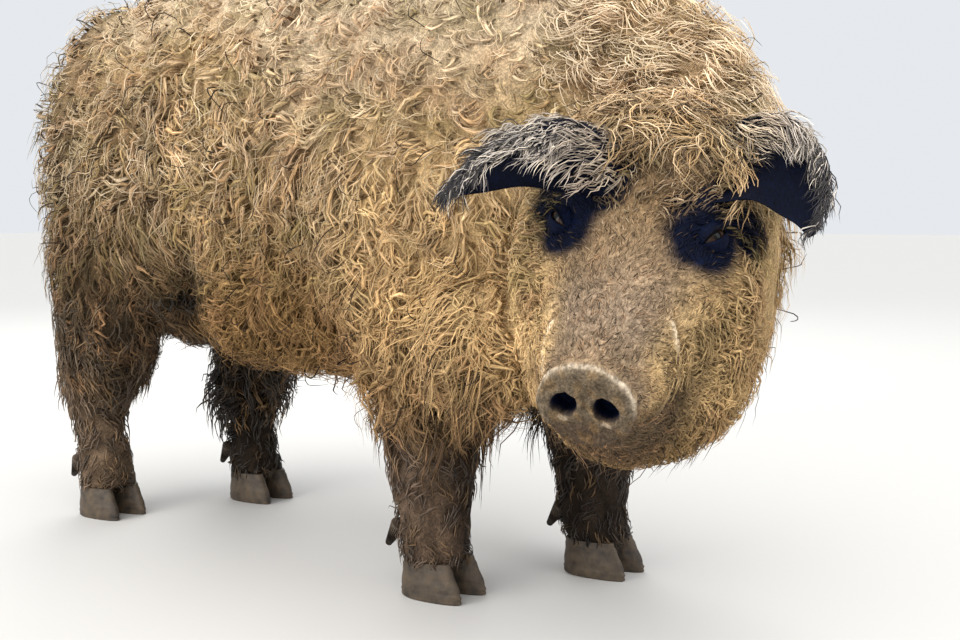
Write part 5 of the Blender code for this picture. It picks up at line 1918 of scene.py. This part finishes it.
def addDewclaw(name, foot, side, look):
    form = clawForm
    bm = bmesh.new()
    bmesh.ops.create_cone(bm, cap_ends=True, segments=form["sides"], radius1=form["root"],
                          radius2=form["tip"], depth=form["length"])
    bmesh.ops.bevel(bm, geom=bm.edges[:], affect="EDGES", offset=form["edge"], segments=form["edgeSteps"],
                    profile=0.5, material=-1)
    turn = Matrix.Rotation(math.radians(form["lean"]), 4, "Y") @ Matrix.Rotation(form["splay"] * side, 4, "X")
    at = Vector((foot[0] - form["behind"], foot[1] + side * form["out"], form["height"]))
    bmesh.ops.transform(bm, verts=bm.verts, matrix=Matrix.Translation(at) @ turn)
    claw = addObject(name, meshFrom(bm, name))
    dress(claw.data, look)
    settle(claw, "horn", name)


hornLook = hornMaterial()
for foot, (place, _) in feet.items():
    for side, word in ((-1, "right"), (1, "left")):
        addHoof("hoof_" + foot + "_" + word, place, side, hornLook)
        addDewclaw("dewclaw_" + foot + "_" + word, place, side, hornLook)
print("eyes and hooves")

# Floor, light and camera
studio = {"floor": 60.0, "floorColour": (0.60, 0.59, 0.57), "skyColour": (0.93, 0.96, 1.0), "world": 0.85,
          "lens": 43.125, "azimuth": 38, "pitch": 5.217, "camera": (1.313, -1.294, 0.52)}
sun = {"way": (-0.25, 0.35, -1.0), "angle": 1.3, "energy": 2.1, "color": (1.0, 0.985, 0.96)}
lamps = {
    "front": {"place": (-1.2, -3.6, 1.8), "target": (0.3, -0.2, 0.4), "size": 2.6, "energy": 95,
              "color": (1.0, 0.98, 0.95)},
    "fill": {"place": (1.0, -3.0, 0.9), "target": (0.45, -0.2, 0.4), "size": 1.6, "energy": 14,
             "color": (1.0, 0.98, 0.95)},
    "side": {"place": (3.4, 0.2, 2.2), "target": (0, 0, 0.4), "size": 2.4, "energy": 35,
             "color": (0.95, 0.97, 1.0)},
    "back": {"place": (-2.4, 2.4, 2.8), "target": (0, 0, 0.5), "size": 2.4, "energy": 55,
             "color": (1.0, 0.99, 0.97)},
}


def addFloor():
    bm = bmesh.new()
    bmesh.ops.create_grid(bm, x_segments=1, y_segments=1, size=studio["floor"] / 2)
    floor = addObject("floor", meshFrom(bm, "floor"))
    look, _, _, shader = newMaterial("pale floor", 0.7, 0.2)
    shader.inputs["Base Color"].default_value = (*studio["floorColour"], 1)
    floor.data.materials.append(look)


def addLight(data, form, way):
    data.energy = form["energy"]
    data.color = form["color"]
    light = addObject(data.name, data)
    light.rotation_euler = Vector(way).to_track_quat("-Z", "Y").to_euler()
    return light


def addSun():
    data = bpy.data.lights.new("sky", "SUN")
    data.angle = sun["angle"]
    addLight(data, sun, sun["way"])


def addLamp(name, form):
    # A round soft lamp that faces its target
    data = bpy.data.lights.new(name, "AREA")
    data.shape = "DISK"
    data.size = form["size"]
    addLight(data, form, Vector(form["target"]) - Vector(form["place"])).location = form["place"]


def addWorld():
    world = bpy.data.worlds.new("studio")
    world.use_nodes = True
    sky = world.node_tree.nodes["Background"]
    sky.inputs["Color"].default_value = (*studio["skyColour"], 1)
    sky.inputs["Strength"].default_value = studio["world"]
    scene.world = world


def addCamera():
    data = bpy.data.cameras.new("camera")
    data.sensor_width = 36
    data.lens = studio["lens"]
    camera = addObject("camera", data)
    turn = Matrix.Rotation(math.radians(studio["azimuth"]), 4, "Z")
    tip = Matrix.Rotation(math.radians(90 - studio["pitch"]), 4, "X")
    camera.matrix_world = Matrix.Translation(Vector(studio["camera"]) + toFloor) @ turn @ tip
    scene.camera = camera


addFloor()
addWorld()
addSun()
for name, form in lamps.items():
    addLamp(name, form)
addCamera()
scene.view_settings.view_transform = "Standard"
print("studio")
